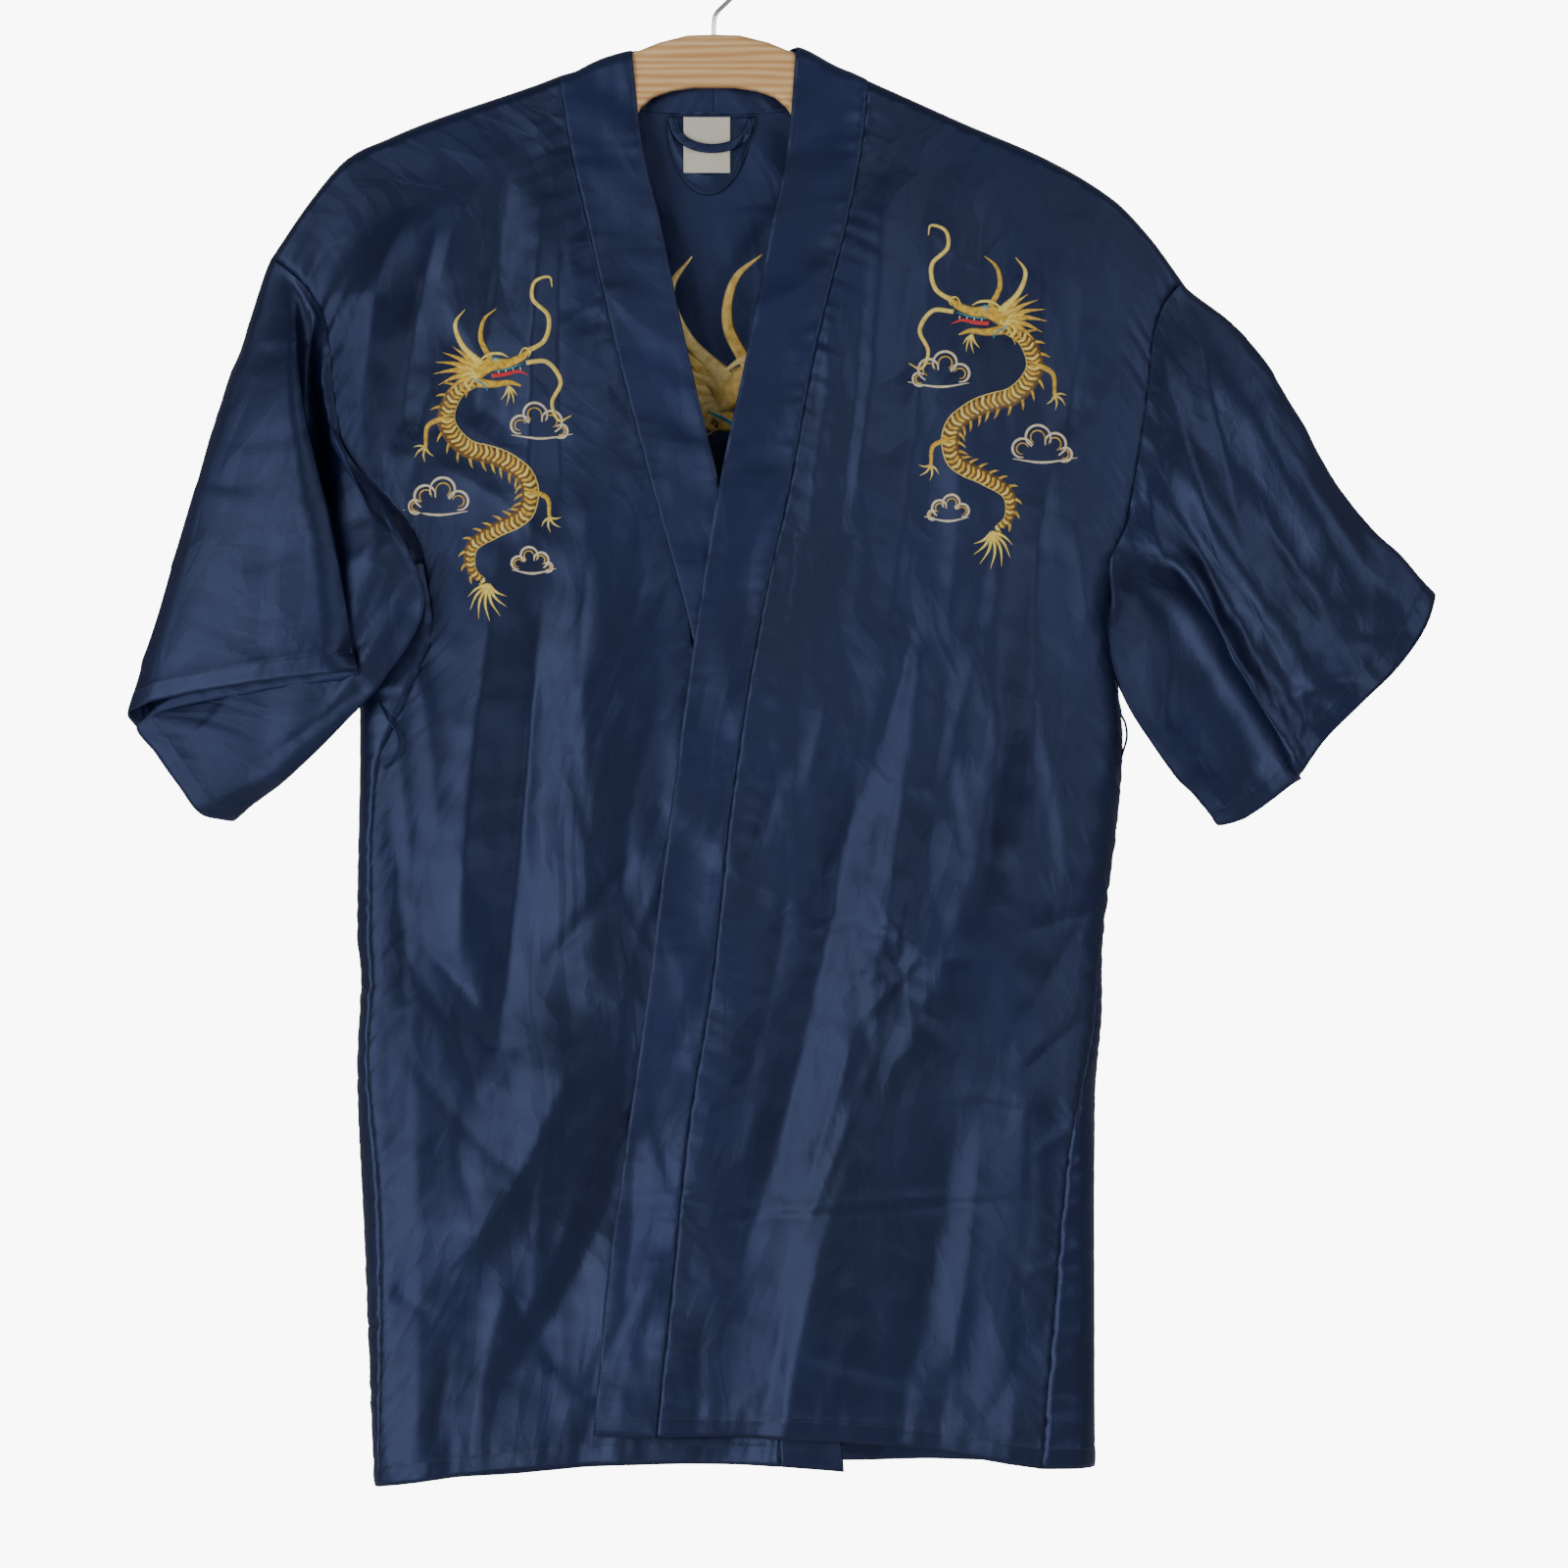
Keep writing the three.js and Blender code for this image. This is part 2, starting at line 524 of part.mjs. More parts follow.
// A band: u runs from its seam to its free edge, row from the hem up over the shoulder and on
// round the neck to the middle of the back.
function neckBand(side, band, depthAt) {
  const top = band[0];
  return (u, row) => {
    if (row <= BODY_ROWS - 1) {
      const sideDown = sideDownAt(side, BODY_ROWS - 1 - row);
      const at = (column) => read(band, "sideDown", sideDown, column);
      const x = mix(at("seamX"), at("edgeX"), u);
      const straight = mix(top.seamDown, top.edgeDown, u);
      const crown = shoulderDown(mix(top.seamX, top.edgeX, u)) - straight;
      const down = mix(at("seamDown"), at("edgeDown"), u) + crown * topFade(side, sideDown);
      return point(x, depthAt(x, down), down);
    }
    const round = (row - BODY_ROWS + 1) / NECK_COLUMNS;
    const inwards = neckShare(round * NECK_COLUMNS);
    const seamX = side.sign * NECK_SEAM_HALF * inwards;
    const freeX = side.sign * BAND_TOP_HALF * inwards;
    const seamDown = neckSeamDown(seamX);
    const freeDown = mix(shoulderDown(side.sign * BAND_TOP_HALF), BAND_TOP_DOWN, ease(round * 3));
    const straight = mix(shoulderDown(top.seamX), shoulderDown(top.edgeX), u);
    const crown = shoulderDown(mix(top.seamX, top.edgeX, u)) - straight;
    const y = mix(backY(seamX, seamDown), BAND_TOP_DEPTH * roll(round, 0.3), u);
    const down = mix(seamDown, freeDown, u) + crown * (1 - ease(round * 3));
    return point(mix(seamX, freeX, u), y, down);
  };
}

// A sleeve: column runs round the tube, from the shoulder down the front of the armhole and up
// its back, on the rows of the body there. v runs from the armhole to the cuff.
const ARM_COLUMNS = 2 * (ARM_ROW_SHARES.length - 1);
function sleeveTube(side, frontEdge, backEdge, lines) {
  const half = ARM_COLUMNS / 2;
  const shareAt = (column) => {
    const step = column <= half ? column : ARM_COLUMNS - column;
    const share = (sideDownAt(side, step) - side.shoulder) / (side.underarm - side.shoulder);
    return column <= half ? share : 2 - share;
  };
  const keys = lines.map((l) => (l.root < 0 ? 2 + l.root : l.root));
  const rings = ["upper", "lower", "cuff"].map((name) => {
    const ring = lines.map((l) => point(...l[name]));
    return new THREE.CatmullRomCurve3(ring, true, "centripetal");
  });
  return (column, v) => {
    const around = shareAt(column);
    let i = 0;
    while (i < keys.length - 1 && around > keys[i + 1]) i++;
    const next = i === keys.length - 1 ? 2 : keys[i + 1];
    const place = (i + (around - keys[i]) / (next - keys[i])) / keys.length;
    const root = column <= half ? frontEdge(column) : backEdge(ARM_COLUMNS - column);
    const underArm = clamp(1.4 - Math.abs(around - 1) / 0.3, 0, 1);
    const forward = root.y * 0.35 - side.swing * underArm;
    const start = root.clone().add(new THREE.Vector3(side.sign * 6, forward, -2));
    const slack = side.swing * 0.032 * clamp(1.8 - Math.abs(around - 1.08) / 0.06, 0, 1.4);
    root.lerp(start, slack);
    const stations = [root, start, ...rings.map((r) => r.getPoint(place % 1))];
    return new THREE.CatmullRomCurve3(stations, false, "centripetal").getPoint(v);
  };
}

function meshOf(name, geometry, colour, roughness, metalness = 0) {
  const material = new THREE.MeshStandardMaterial({ color: colour, roughness, metalness });
  const mesh = new THREE.Mesh(geometry, material);
  mesh.name = name;
  return mesh;
}

// A place on a surface, moved off an edge of its grid until it is a given distance away.
function standBack(surface, column, row, stepColumn, stepRow, distance) {
  const from = surface(column, row);
  let [low, high] = [0, 1];
  for (let i = 0; i < 16; i++) {
    const t = (low + high) / 2;
    const far = surface(column + t * stepColumn, row + t * stepRow).distanceTo(from) > distance;
    if (far) high = t;
    else low = t;
  }
  return high;
}

// Middle points of a surface on a grid of columns and rows, with the direction that faces away
// from it. Edges names the sewn edges, which stand back by the gap. A closed surface has no
// side edges and repeats after the given number of columns.
function sample(surface, columns, rows, edges, gap, closed) {
  const lastColumn = columns[columns.length - 1];
  const lastRow = rows[rows.length - 1];
  const du = (lastColumn - columns[0]) / 2000;
  const dv = (lastRow - rows[0]) / 2000;
  const wrap = (t) => (closed ? (t + closed) % closed : clamp(t, columns[0], lastColumn));
  const hold = (t) => clamp(t, rows[0], lastRow);
  return rows.map((wholeRow, r) =>
    columns.map((wholeColumn, c) => {
      let [column, row] = [wholeColumn, wholeRow];
      const [onSide, onTop] = [c === 0 || column === lastColumn, r === 0];
      const stand = onSide && onTop && !closed ? 3 * gap : gap;
      const back = (stepColumn, stepRow) => standBack(surface, column, row, stepColumn, stepRow, stand);
      if (edges.includes("low") && c === 0) column += back(1, 0);
      if (edges.includes("high") && column === lastColumn) column -= back(-1, 0);
      if (edges.includes("start") && onTop) row += back(0, 1);
      if (edges.includes("end") && row === lastRow) row -= back(0, -1);
      const alongU = surface(wrap(column + du), row).sub(surface(wrap(column - du), row));
      const alongV = surface(column, hold(row + dv)).sub(surface(column, hold(row - dv)));
      return { at: surface(column, row), out: alongU.cross(alongV).normalize() };
    }),
  );
}

// A closed wall of a given thickness on a grid of middle points. A tube closes round on itself.
function wallGeometry(grid, wall, closed) {
  const rows = grid.length;
  const columns = grid[0].length;
  const positions = [];
  for (const side of [0.5, -0.5])
    for (const row of grid)
      for (const p of row) positions.push(...p.at.clone().addScaledVector(p.out, side * wall).toArray());
  const layer = rows * columns;
  const id = (row, column, side) => side * layer + row * columns + (column % columns);
  const index = [];
  const quad = (a, b, c, d) => index.push(a, b, c, a, c, d);
  const spans = closed ? columns : columns - 1;
  for (let r = 0; r < rows - 1; r++)
    for (let c = 0; c < spans; c++) {
      quad(id(r, c, 0), id(r, c + 1, 0), id(r + 1, c + 1, 0), id(r + 1, c, 0));
      quad(id(r, c, 1), id(r + 1, c, 1), id(r + 1, c + 1, 1), id(r, c + 1, 1));
    }
  const last = rows - 1;
  for (let c = 0; c < spans; c++) {
    quad(id(0, c, 0), id(0, c, 1), id(0, c + 1, 1), id(0, c + 1, 0));
    quad(id(last, c, 0), id(last, c + 1, 0), id(last, c + 1, 1), id(last, c, 1));
  }
  if (!closed)
    for (let r = 0; r < rows - 1; r++) {
      quad(id(r, 0, 0), id(r + 1, 0, 0), id(r + 1, 0, 1), id(r, 0, 1));
      const end = columns - 1;
      quad(id(r, end, 0), id(r, end, 1), id(r + 1, end, 1), id(r + 1, end, 0));
    }
  let volume = 0;
  const corner = (i) => new THREE.Vector3().fromArray(positions, 3 * i);
  for (let i = 0; i < index.length; i += 3)
    volume += corner(index[i]).dot(corner(index[i + 1]).cross(corner(index[i + 2])));
  if (volume < 0) index.reverse();
  const geometry = new THREE.BufferGeometry();
  geometry.setAttribute("position", new THREE.Float32BufferAttribute(positions, 3));
  geometry.setIndex(index);
  return geometry;
}

const steps = (count) => Array.from({ length: count + 1 }, (_, i) => i / count);
const whole = (count) => Array.from({ length: count }, (_, i) => i);
const NAVY = 0x22335c;
const SATIN_ROUGHNESS = 0.38;

function cloth(name, surface, columns, rows, wall, edges) {
  const grid = sample(surface, columns, rows, edges, SEAM_GAP * 0.6, 0);
  return meshOf(name, wallGeometry(grid, wall, false), NAVY, SATIN_ROUGHNESS);
}

const robe = new THREE.Group();

// Panels.
const PANEL_COLUMNS = steps(14).map((t) => t ** 1.2);
const overFront = frontPanel(SIDES.right, OVER_BAND, overY, OVER_HEM_LIFT);
const underFront = frontPanel(SIDES.left, UNDER_BAND, underY, UNDER_HEM_LIFT);
const sewn = ["start", "low", "high"];
robe.add(cloth("front_left", overFront, PANEL_COLUMNS, whole(BODY_ROWS), SATIN_WALL, sewn));
robe.add(cloth("front_right", underFront, PANEL_COLUMNS, whole(BODY_ROWS), SATIN_WALL, sewn));
robe.add(cloth("back", backPanel, whole(BACK_COLUMNS), whole(BODY_ROWS), SATIN_WALL, sewn));

// Bands, each from its hem to the middle of the neck.
const BAND_ROWS = whole(BODY_ROWS + NECK_COLUMNS);
const overBand = neckBand(SIDES.right, OVER_BAND, overY);
const underBand = neckBand(SIDES.left, UNDER_BAND, underY);
robe.add(cloth("band_left", overBand, steps(3), BAND_ROWS, BAND_WALL, ["low", "end"]));
robe.add(cloth("band_right", underBand, steps(3), BAND_ROWS, BAND_WALL, ["low", "end"]));

// Sleeves.
const SLEEVE_ROWS = [0, 0.12, 0.25, 0.33, 0.42, 0.5, 0.57, 0.64, 0.71, 0.78, 0.85, 0.92, 1];
function sleeve(name, side, front, backColumn, lines) {
  const tube = sleeveTube(side, (row) => front(0, row), (row) => backPanel(backColumn, row), lines);
  const grid = sample(tube, whole(ARM_COLUMNS), SLEEVE_ROWS, ["start"], ARMHOLE_GAP, ARM_COLUMNS);
  return meshOf(name, wallGeometry(grid, SATIN_WALL, true), NAVY, SATIN_ROUGHNESS);
}
robe.add(sleeve("sleeve_left", SIDES.right, overFront, BACK_COLUMNS - 1, RIGHT_SLEEVE));
robe.add(sleeve("sleeve_right", SIDES.left, underFront, 0, LEFT_SLEEVE));

// The half-moon patch, the label and the hanging loop, made from the back panel's own points
// and moved forward off it.
const onBack = (x, down, forward) => point(x, backY(x, down) - forward, down);
const patchSurface = (u, v) => {
  const x = PATCH.x + PATCH.half * u;
  const top = neckSeamDown(x) + 2;
  return onBack(x, top + v * PATCH.drop * Math.sqrt(1 - u * u), PATCH.off);
};
const across = (count, half) => steps(count).map((t) => mix(-half, half, t));
robe.add(cloth("neck_patch", patchSurface, across(12, 0.985), steps(4), TRIM_WALL, []));
const labelSurface = (u, v) => {
  const x = LABEL.x + u * LABEL.width;
  const stand = mix(LABEL.off, LABEL.hang, v);
  return onBack(x, neckSeamDown(x) + 2 + v * LABEL.height, stand);
};
robe.add(cloth("label", labelSurface, across(3, 0.5), steps(5), LABEL_WALL, []));
const loopSurface = (u, v) => {
  const round = Math.PI * v;
  const middle = (LOOP.left + LOOP.right) / 2;
  const half = (LOOP.right - LOOP.left) / 2 - LOOP.width * u;
  const x = middle - half * Math.cos(round);
  const sag = (LOOP.drop - LOOP.width * u) * Math.sin(round) ** 0.8;
  const stand = mix(LOOP.off, LOOP.hang, Math.sin(round));
  return onBack(x, neckSeamDown(x) + 2 + sag, stand);
};
robe.add(cloth("hanging_loop", loopSurface, steps(1), steps(20), LOOP_WALL, []));

// A round wire or cord along a smooth line through the given points.
function cord(name, points, diameter, sides, count, colour, roughness, metalness) {
  const ring = Array.from({ length: sides }, (_, i) => {
    const angle = (i * 2 * Math.PI) / sides;
    return new THREE.Vector2((Math.cos(angle) * diameter) / 2, (Math.sin(angle) * diameter) / 2);
  });
  const path = new THREE.CatmullRomCurve3(points, false, "centripetal");
  const options = { steps: count, bevelEnabled: false, extrudePath: path };
  const geometry = new THREE.ExtrudeGeometry(new THREE.Shape(ring), options);
  return meshOf(name, geometry, colour, roughness, metalness);
}

// The thread loops for the belt stand on the front, just off the side seams.
function beltLoop(name, depthAt, rows) {
  const points = rows.map((r) => point(r.x, depthAt(r.x, r.down) - SATIN_WALL / 2 - r.out, r.down));
  return cord(name, points, BELT_LOOP_CORD, 6, 14, NAVY, SATIN_ROUGHNESS, 0);
}
robe.add(beltLoop("belt_loop_left", overY, BELT_LOOP_LEFT));
robe.add(beltLoop("belt_loop_right", underY, BELT_LOOP_RIGHT));

// The hanger: one flat board with rounded edges, drilled for the hook's stem.
const outline = new THREE.Shape();
const upper = HANGER_TOP.map((p) => new THREE.Vector2(p.x, -p.down));
const lower = HANGER_UNDER.map((p) => new THREE.Vector2(p.x, -p.down));
const mirrored = (list) => list.map((p) => new THREE.Vector2(-p.x, p.y)).reverse();
outline.setFromPoints([...upper, ...lower, ...mirrored(lower), ...mirrored(upper.slice(1))]);
const board = new THREE.ExtrudeGeometry(outline, {
  depth: HANGER_THICK - 2 * HANGER_ROUND,
  bevelEnabled: true,
  bevelThickness: HANGER_ROUND,
  bevelSize: HANGER_ROUND,
  bevelOffset: -HANGER_ROUND,
  bevelSegments: 3,
});
board.rotateX(Math.PI / 2);
board.translate(0, HANGER_THICK / 2 - HANGER_ROUND, 0);
const solidOf = (geometry) => {
  const plain = new THREE.BufferGeometry().setAttribute("position", geometry.getAttribute("position"));
  plain.setIndex(geometry.index);
  const merged = mergeVertices(plain, 1e-3);
  return new wasm.Manifold(
    new wasm.Mesh({
      numProp: 3,
      vertProperties: merged.getAttribute("position").array,
      triVerts: new Uint32Array(merged.index.array),
    }),
  );
};
const drill = new THREE.CylinderGeometry(HOOK_HOLE / 2, HOOK_HOLE / 2, 60, 16);
drill.rotateX(Math.PI / 2);
drill.translate(0, 0, -HANGER_TOP[0].down - HOOK_IN_WOOD + 30);
const drilled = solidOf(board).subtract(solidOf(drill)).getMesh();
const wood = new THREE.BufferGeometry();
wood.setAttribute("position", new THREE.BufferAttribute(drilled.vertProperties, 3));
wood.setIndex(new THREE.BufferAttribute(drilled.triVerts, 1));
robe.add(meshOf("hanger_wood", wood, 0xe0b27a, 0.5));

// The hook, from its open end over the crown and down into the wood.
const bend = HOOK_RADIUS + HOOK_WIRE / 2;
const hookArc = steps(9).map((t) => {
  const angle = THREE.MathUtils.degToRad(mix(200, -25, t));
  return point(bend * Math.cos(angle), 0, HOOK_RADIUS - bend * Math.sin(angle));
});
const hookStem = HOOK_STEM.map((p) => point(p.x, 0, p.down));
robe.add(cord("hanger_hook", [...hookArc, ...hookStem], HOOK_WIRE, 8, 34, 0xc8ccd0, 0.25, 1));

export default robe;
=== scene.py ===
# A short navy satin kimono robe on a wooden hanger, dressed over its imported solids.
# The tables and the cloth surfaces are in millimetres, as the part's source gives them, and
# "down" is the distance below the hook's crown. Meshes are made in metres.
import math

import bmesh
import bpy
import numpy as np
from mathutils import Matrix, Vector


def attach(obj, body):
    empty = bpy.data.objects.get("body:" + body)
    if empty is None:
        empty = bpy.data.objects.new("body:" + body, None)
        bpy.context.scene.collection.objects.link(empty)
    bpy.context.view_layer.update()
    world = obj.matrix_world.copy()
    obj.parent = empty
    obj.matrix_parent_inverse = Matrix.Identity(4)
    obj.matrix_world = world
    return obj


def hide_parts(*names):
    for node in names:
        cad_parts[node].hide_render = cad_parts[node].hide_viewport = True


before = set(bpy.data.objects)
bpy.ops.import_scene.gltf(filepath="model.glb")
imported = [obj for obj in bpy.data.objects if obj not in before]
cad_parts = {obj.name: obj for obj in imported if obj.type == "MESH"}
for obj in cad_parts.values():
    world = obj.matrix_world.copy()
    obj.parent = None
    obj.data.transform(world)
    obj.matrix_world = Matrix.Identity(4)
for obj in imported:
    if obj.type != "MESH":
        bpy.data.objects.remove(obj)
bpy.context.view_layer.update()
MM = 0.001
FINE = 1.0


# Tables of named columns, one row for each section, edge point or fold.
def table(columns, *rows):
    return {name: np.array(values, float) for name, values in zip(columns.split(), zip(*rows))}


# Sizes that the solids share.
ARM_DEPTH = 9.6
UNDER_FRONT_DEPTH = 17.5
OVER_FRONT_DEPTH = 22.0
BACK_DEPTH = 20.0
SHOULDER_ROLL = 10.0
FILL_OUT_OVER = 300.0
SIDE_ROLL = 22.0
NECK_SEAM_HALF = 119.0
NECK_SEAM_DOWN = 120.0
BAND_TOP_HALF = 63.0
BAND_TOP_DOWN = 70.5
BAND_TOP_DEPTH = 10.4
OVER_HEM_LIFT = 8.0
UNDER_HEM_LIFT = 8.0
BACK_HEM_LIFT = 8.0

# Sizes that only the dressed cloth has: its walls, its stitched hem, and the grids it is laid on.
SINGLE_WALL = 0.9
HEM_MORE = 0.5
BAND_WALL = 1.6
HEM_DEEP = 15.0
PANEL_ROWS = 330
FRONT_COLUMNS = 88
BACK_COLUMNS = 130
BAND_ROWS = 400
BAND_COLUMNS = 18
SLEEVE_ROWS = 120
SLEEVE_AROUND = 128

SHOULDER_LINE = table(
    "x down",
    (-340, 232), (-309, 187), (-282, 156), (-250, 140), (-213, 125), (-137, 99), (-64, 72), (0, 66),
    (64, 72), (122, 97), (189, 127), (258, 157), (307, 187), (335, 216), (360, 250),
)
LEFT_EDGE = table(
    "down x",
    (232, -340), (253, -315), (281, -299), (336, -291), (379, -286), (466, -280), (583, -272),
    (756, -274), (786, -271), (860, -274), (996, -268), (1180, -261),
)
RIGHT_EDGE = table(
    "down x",
    (250, 360), (268, 346), (291, 338), (336, 333), (396, 324), (463, 312), (500, 304), (535, 305),
    (565, 311), (606, 314), (666, 310), (756, 299), (816, 298), (876, 293), (1180, 293),
)
LEFT_SEAM_IN = table(
    "down inset",
    (466, 58), (520, 60), (570, 38), (625, 14), (762, 11), (827, 8), (958, 14), (1180, 4),
)
RIGHT_SEAM_IN = table(
    "down inset",
    (463, 0), (500, 0.2), (740, 1.4), (811, 7), (863, 12), (928, 22), (1006, 29), (1180, 44),
)
LEFT_ARM_IN = table(
    "down front back",
    (232, 0, 0), (330, 0, 0), (379, 3, 0), (421, 36, 0), (440, 49, 4), (450, 54, 16), (458, 57, 36),
    (466, 58, 58),
)
RIGHT_ARM_IN = table("down front back", (250, 0, 0), (463, 0, 0))


# One side of the body: the viewer's left is the wearer's right.
class Side:
    def __init__(self, sign, edge, seam, arm, swing, shoulder, underarm, hem):
        self.sign, self.edge, self.seam, self.arm = sign, edge, seam, arm
        self.swing, self.shoulder, self.underarm, self.hem = swing, shoulder, underarm, hem


LEFT = Side(-1, LEFT_EDGE, LEFT_SEAM_IN, LEFT_ARM_IN, 11.0, 232.0, 466.0, 1175.0)
RIGHT = Side(1, RIGHT_EDGE, RIGHT_SEAM_IN, RIGHT_ARM_IN, 0.0, 250.0, 463.0, 1160.0)

OVER_BAND = table(
    "sideDown seamX seamDown edgeX edgeDown",
    (250, 119, 95.5, 63, 71.8), (277, 113, 152, 57, 146), (306, 102, 205, 47, 196),
    (360, 79, 298, 30, 284), (436, 58, 409, 5, 404), (530, 35, 516, -13, 514),
    (658, 14, 649, -31, 646), (790, -1, 786, -49, 786), (908, -20, 905, -66, 905),
    (1024, -31, 1015, -81, 1013), (1160, -44, 1136, -92, 1135),
)
UNDER_BAND = table(
    "sideDown seamX seamDown edgeX edgeDown",
    (232, -119, 95.5, -63, 71.8), (262, -110, 150, -55, 146), (294, -98, 202, -43, 196),
    (352, -76, 298, -23, 290), (434, -48, 406, 3, 400), (530, -18, 516, 32, 510),
    (660, 9, 650, 58, 646), (794, 23, 786, 72, 786), (912, 33, 905, 82, 905),
    (1036, 42, 1028, 91, 1030), (1175, 52, 1158, 100, 1163),
)

# The large hanging folds of the solids: line from head by way of middle to foot, the width of
# both flanks, and how far the cloth stands proud there.
FOLD_COLUMNS = "headX headDown midX midDown footX footDown flankL flankR deep"
FRONT_FOLDS = table(
    FOLD_COLUMNS,
    (-188, 135, -236, 205, -284, 300, 34, 44, 12), (-312, 212, -306, 245, -300, 300, 12, 10, -6),
    (-150, 120, -168, 260, -196, 420, 30, 20, -7),
    (-240, 185, -262, 290, -266, 400, 20, 13, 8), (-206, 190, -232, 295, -238, 400, 13, 18, -8),
    (-128, 110, -138, 300, -150, 470, 18, 26, 6),
    (-160, 430, -184, 620, -196, 800, 30, 16, 10), (-128, 470, -150, 690, -170, 880, 14, 24, -9),
    (-96, 380, -98, 640, -90, 820, 24, 30, 6), (-92, 800, -138, 915, -205, 1020, 52, 24, 13),
    (-62, 860, -100, 1000, -176, 1120, 24, 40, -9), (-232, 760, -226, 960, -228, 1190, 24, 26, 5),
    (-40, 960, -62, 1060, -80, 1190, 26, 26, 4), (132, 115, 124, 290, 100, 470, 26, 20, 6),
    (168, 190, 150, 400, 128, 560, 18, 30, -7), (160, 480, 140, 680, 112, 850, 20, 24, 8),
    (118, 560, 78, 800, 10, 1040, 24, 18, -8), (214, 440, 196, 720, 118, 900, 26, 36, 8),
    (130, 850, 86, 980, 44, 1180, 20, 44, 8), (190, 860, 170, 1000, 130, 1180, 40, 40, -6),
    (246, 380, 244, 560, 240, 740, 22, 22, -6), (236, 780, 236, 980, 222, 1190, 28, 22, 6),
)
BACK_FOLDS = table(
    FOLD_COLUMNS,
    (-210, 170, -226, 420, -214, 760, 34, 30, 8), (-150, 220, -160, 600, -150, 1190, 26, 34, -7),
    (-90, 420, -96, 800, -104, 1190, 32, 30, 8), (-24, 230, -22, 500, -30, 1190, 22, 26, -6),
    (40, 380, 46, 760, 42, 1190, 32, 28, 8), (108, 240, 106, 620, 104, 1190, 28, 30, -7),
    (190, 180, 184, 520, 170, 1190, 34, 38, 9), (250, 420, 246, 800, 238, 1190, 26, 22, -5),
)

# Finer creases, which only the dressed cloth has.
FRONT_CREASES = table(
    FOLD_COLUMNS,
    (-130, 775, -88, 735, -55, 690, 7, 9, -1.6), (-60, 880, -62, 960, -72, 1060, 7, 7, -1.2),
    (-130, 880, -132, 950, -140, 1050, 9, 7, 1.2), (-205, 300, -222, 350, -232, 420, 12, 9, 1.8),
    (-176, 165, -196, 205, -214, 262, 9, 12, 1.8), (-118, 205, -120, 300, -116, 430, 8, 9, -2.2),
    (-136, 200, -139, 320, -140, 470, 8, 7, 2.0), (-232, 520, -218, 600, -212, 690, 10, 12, 2.0),
    (-252, 640, -240, 720, -236, 830, 9, 9, -1.6), (-150, 1000, -170, 1060, -178, 1150, 12, 10, 1.6),
    (-100, 930, -122, 1000, -160, 1070, 8, 8, 1.6), (106, 690, 130, 735, 168, 775, 8, 8, 1.5),
    (128, 740, 140, 760, 176, 752, 7, 8, -1.4), (150, 700, 140, 745, 132, 800, 7, 7, 1.4),
    (110, 812, 92, 880, 66, 960, 8, 10, 2.6), (60, 690, 44, 790, 14, 900, 10, 9, -1.8),
    (92, 250, 84, 350, 70, 460, 8, 10, 1.8), (118, 210, 110, 330, 92, 470, 8, 8, -1.8),
    (190, 300, 186, 420, 176, 560, 12, 10, 1.5), (226, 560, 214, 660, 200, 760, 10, 12, 1.8),
    (262, 600, 258, 700, 262, 800, 9, 8, -1.5), (204, 880, 196, 980, 180, 1100, 12, 12, 1.8),
    (242, 900, 236, 1000, 232, 1120, 10, 10, -1.6), (60, 1000, 52, 1060, 30, 1150, 9, 12, -1.6),
    (285, 240, 280, 300, 268, 380, 12, 10, -2.2), (250, 210, 252, 280, 246, 360, 14, 12, 1.8),
    (-262, 300, -256, 380, -248, 440, 9, 10, -2.2), (-40, 560, -60, 640, -74, 740, 12, 12, -1.6),
)
BACK_CREASES = table(
    FOLD_COLUMNS,
    (-180, 200, -150, 330, -110, 440, 12, 9, 1.8), (150, 190, 130, 320, 96, 430, 9, 12, 1.8),
    (-60, 300, -56, 420, -66, 560, 9, 9, -1.6), (70, 520, 74, 640, 66, 780, 9, 8, 1.6),
    (-190, 640, -176, 760, -186, 900, 10, 12, -1.8), (206, 620, 196, 760, 206, 880, 12, 10, 1.8),
    (-20, 820, -6, 900, -14, 1040, 9, 9, 1.6), (134, 860, 140, 960, 128, 1100, 10, 9, -1.8),
    (-240, 300, -226, 380, -206, 430, 10, 10, 2.0), (232, 260, 226, 360, 204, 440, 10, 12, 2.0),
)

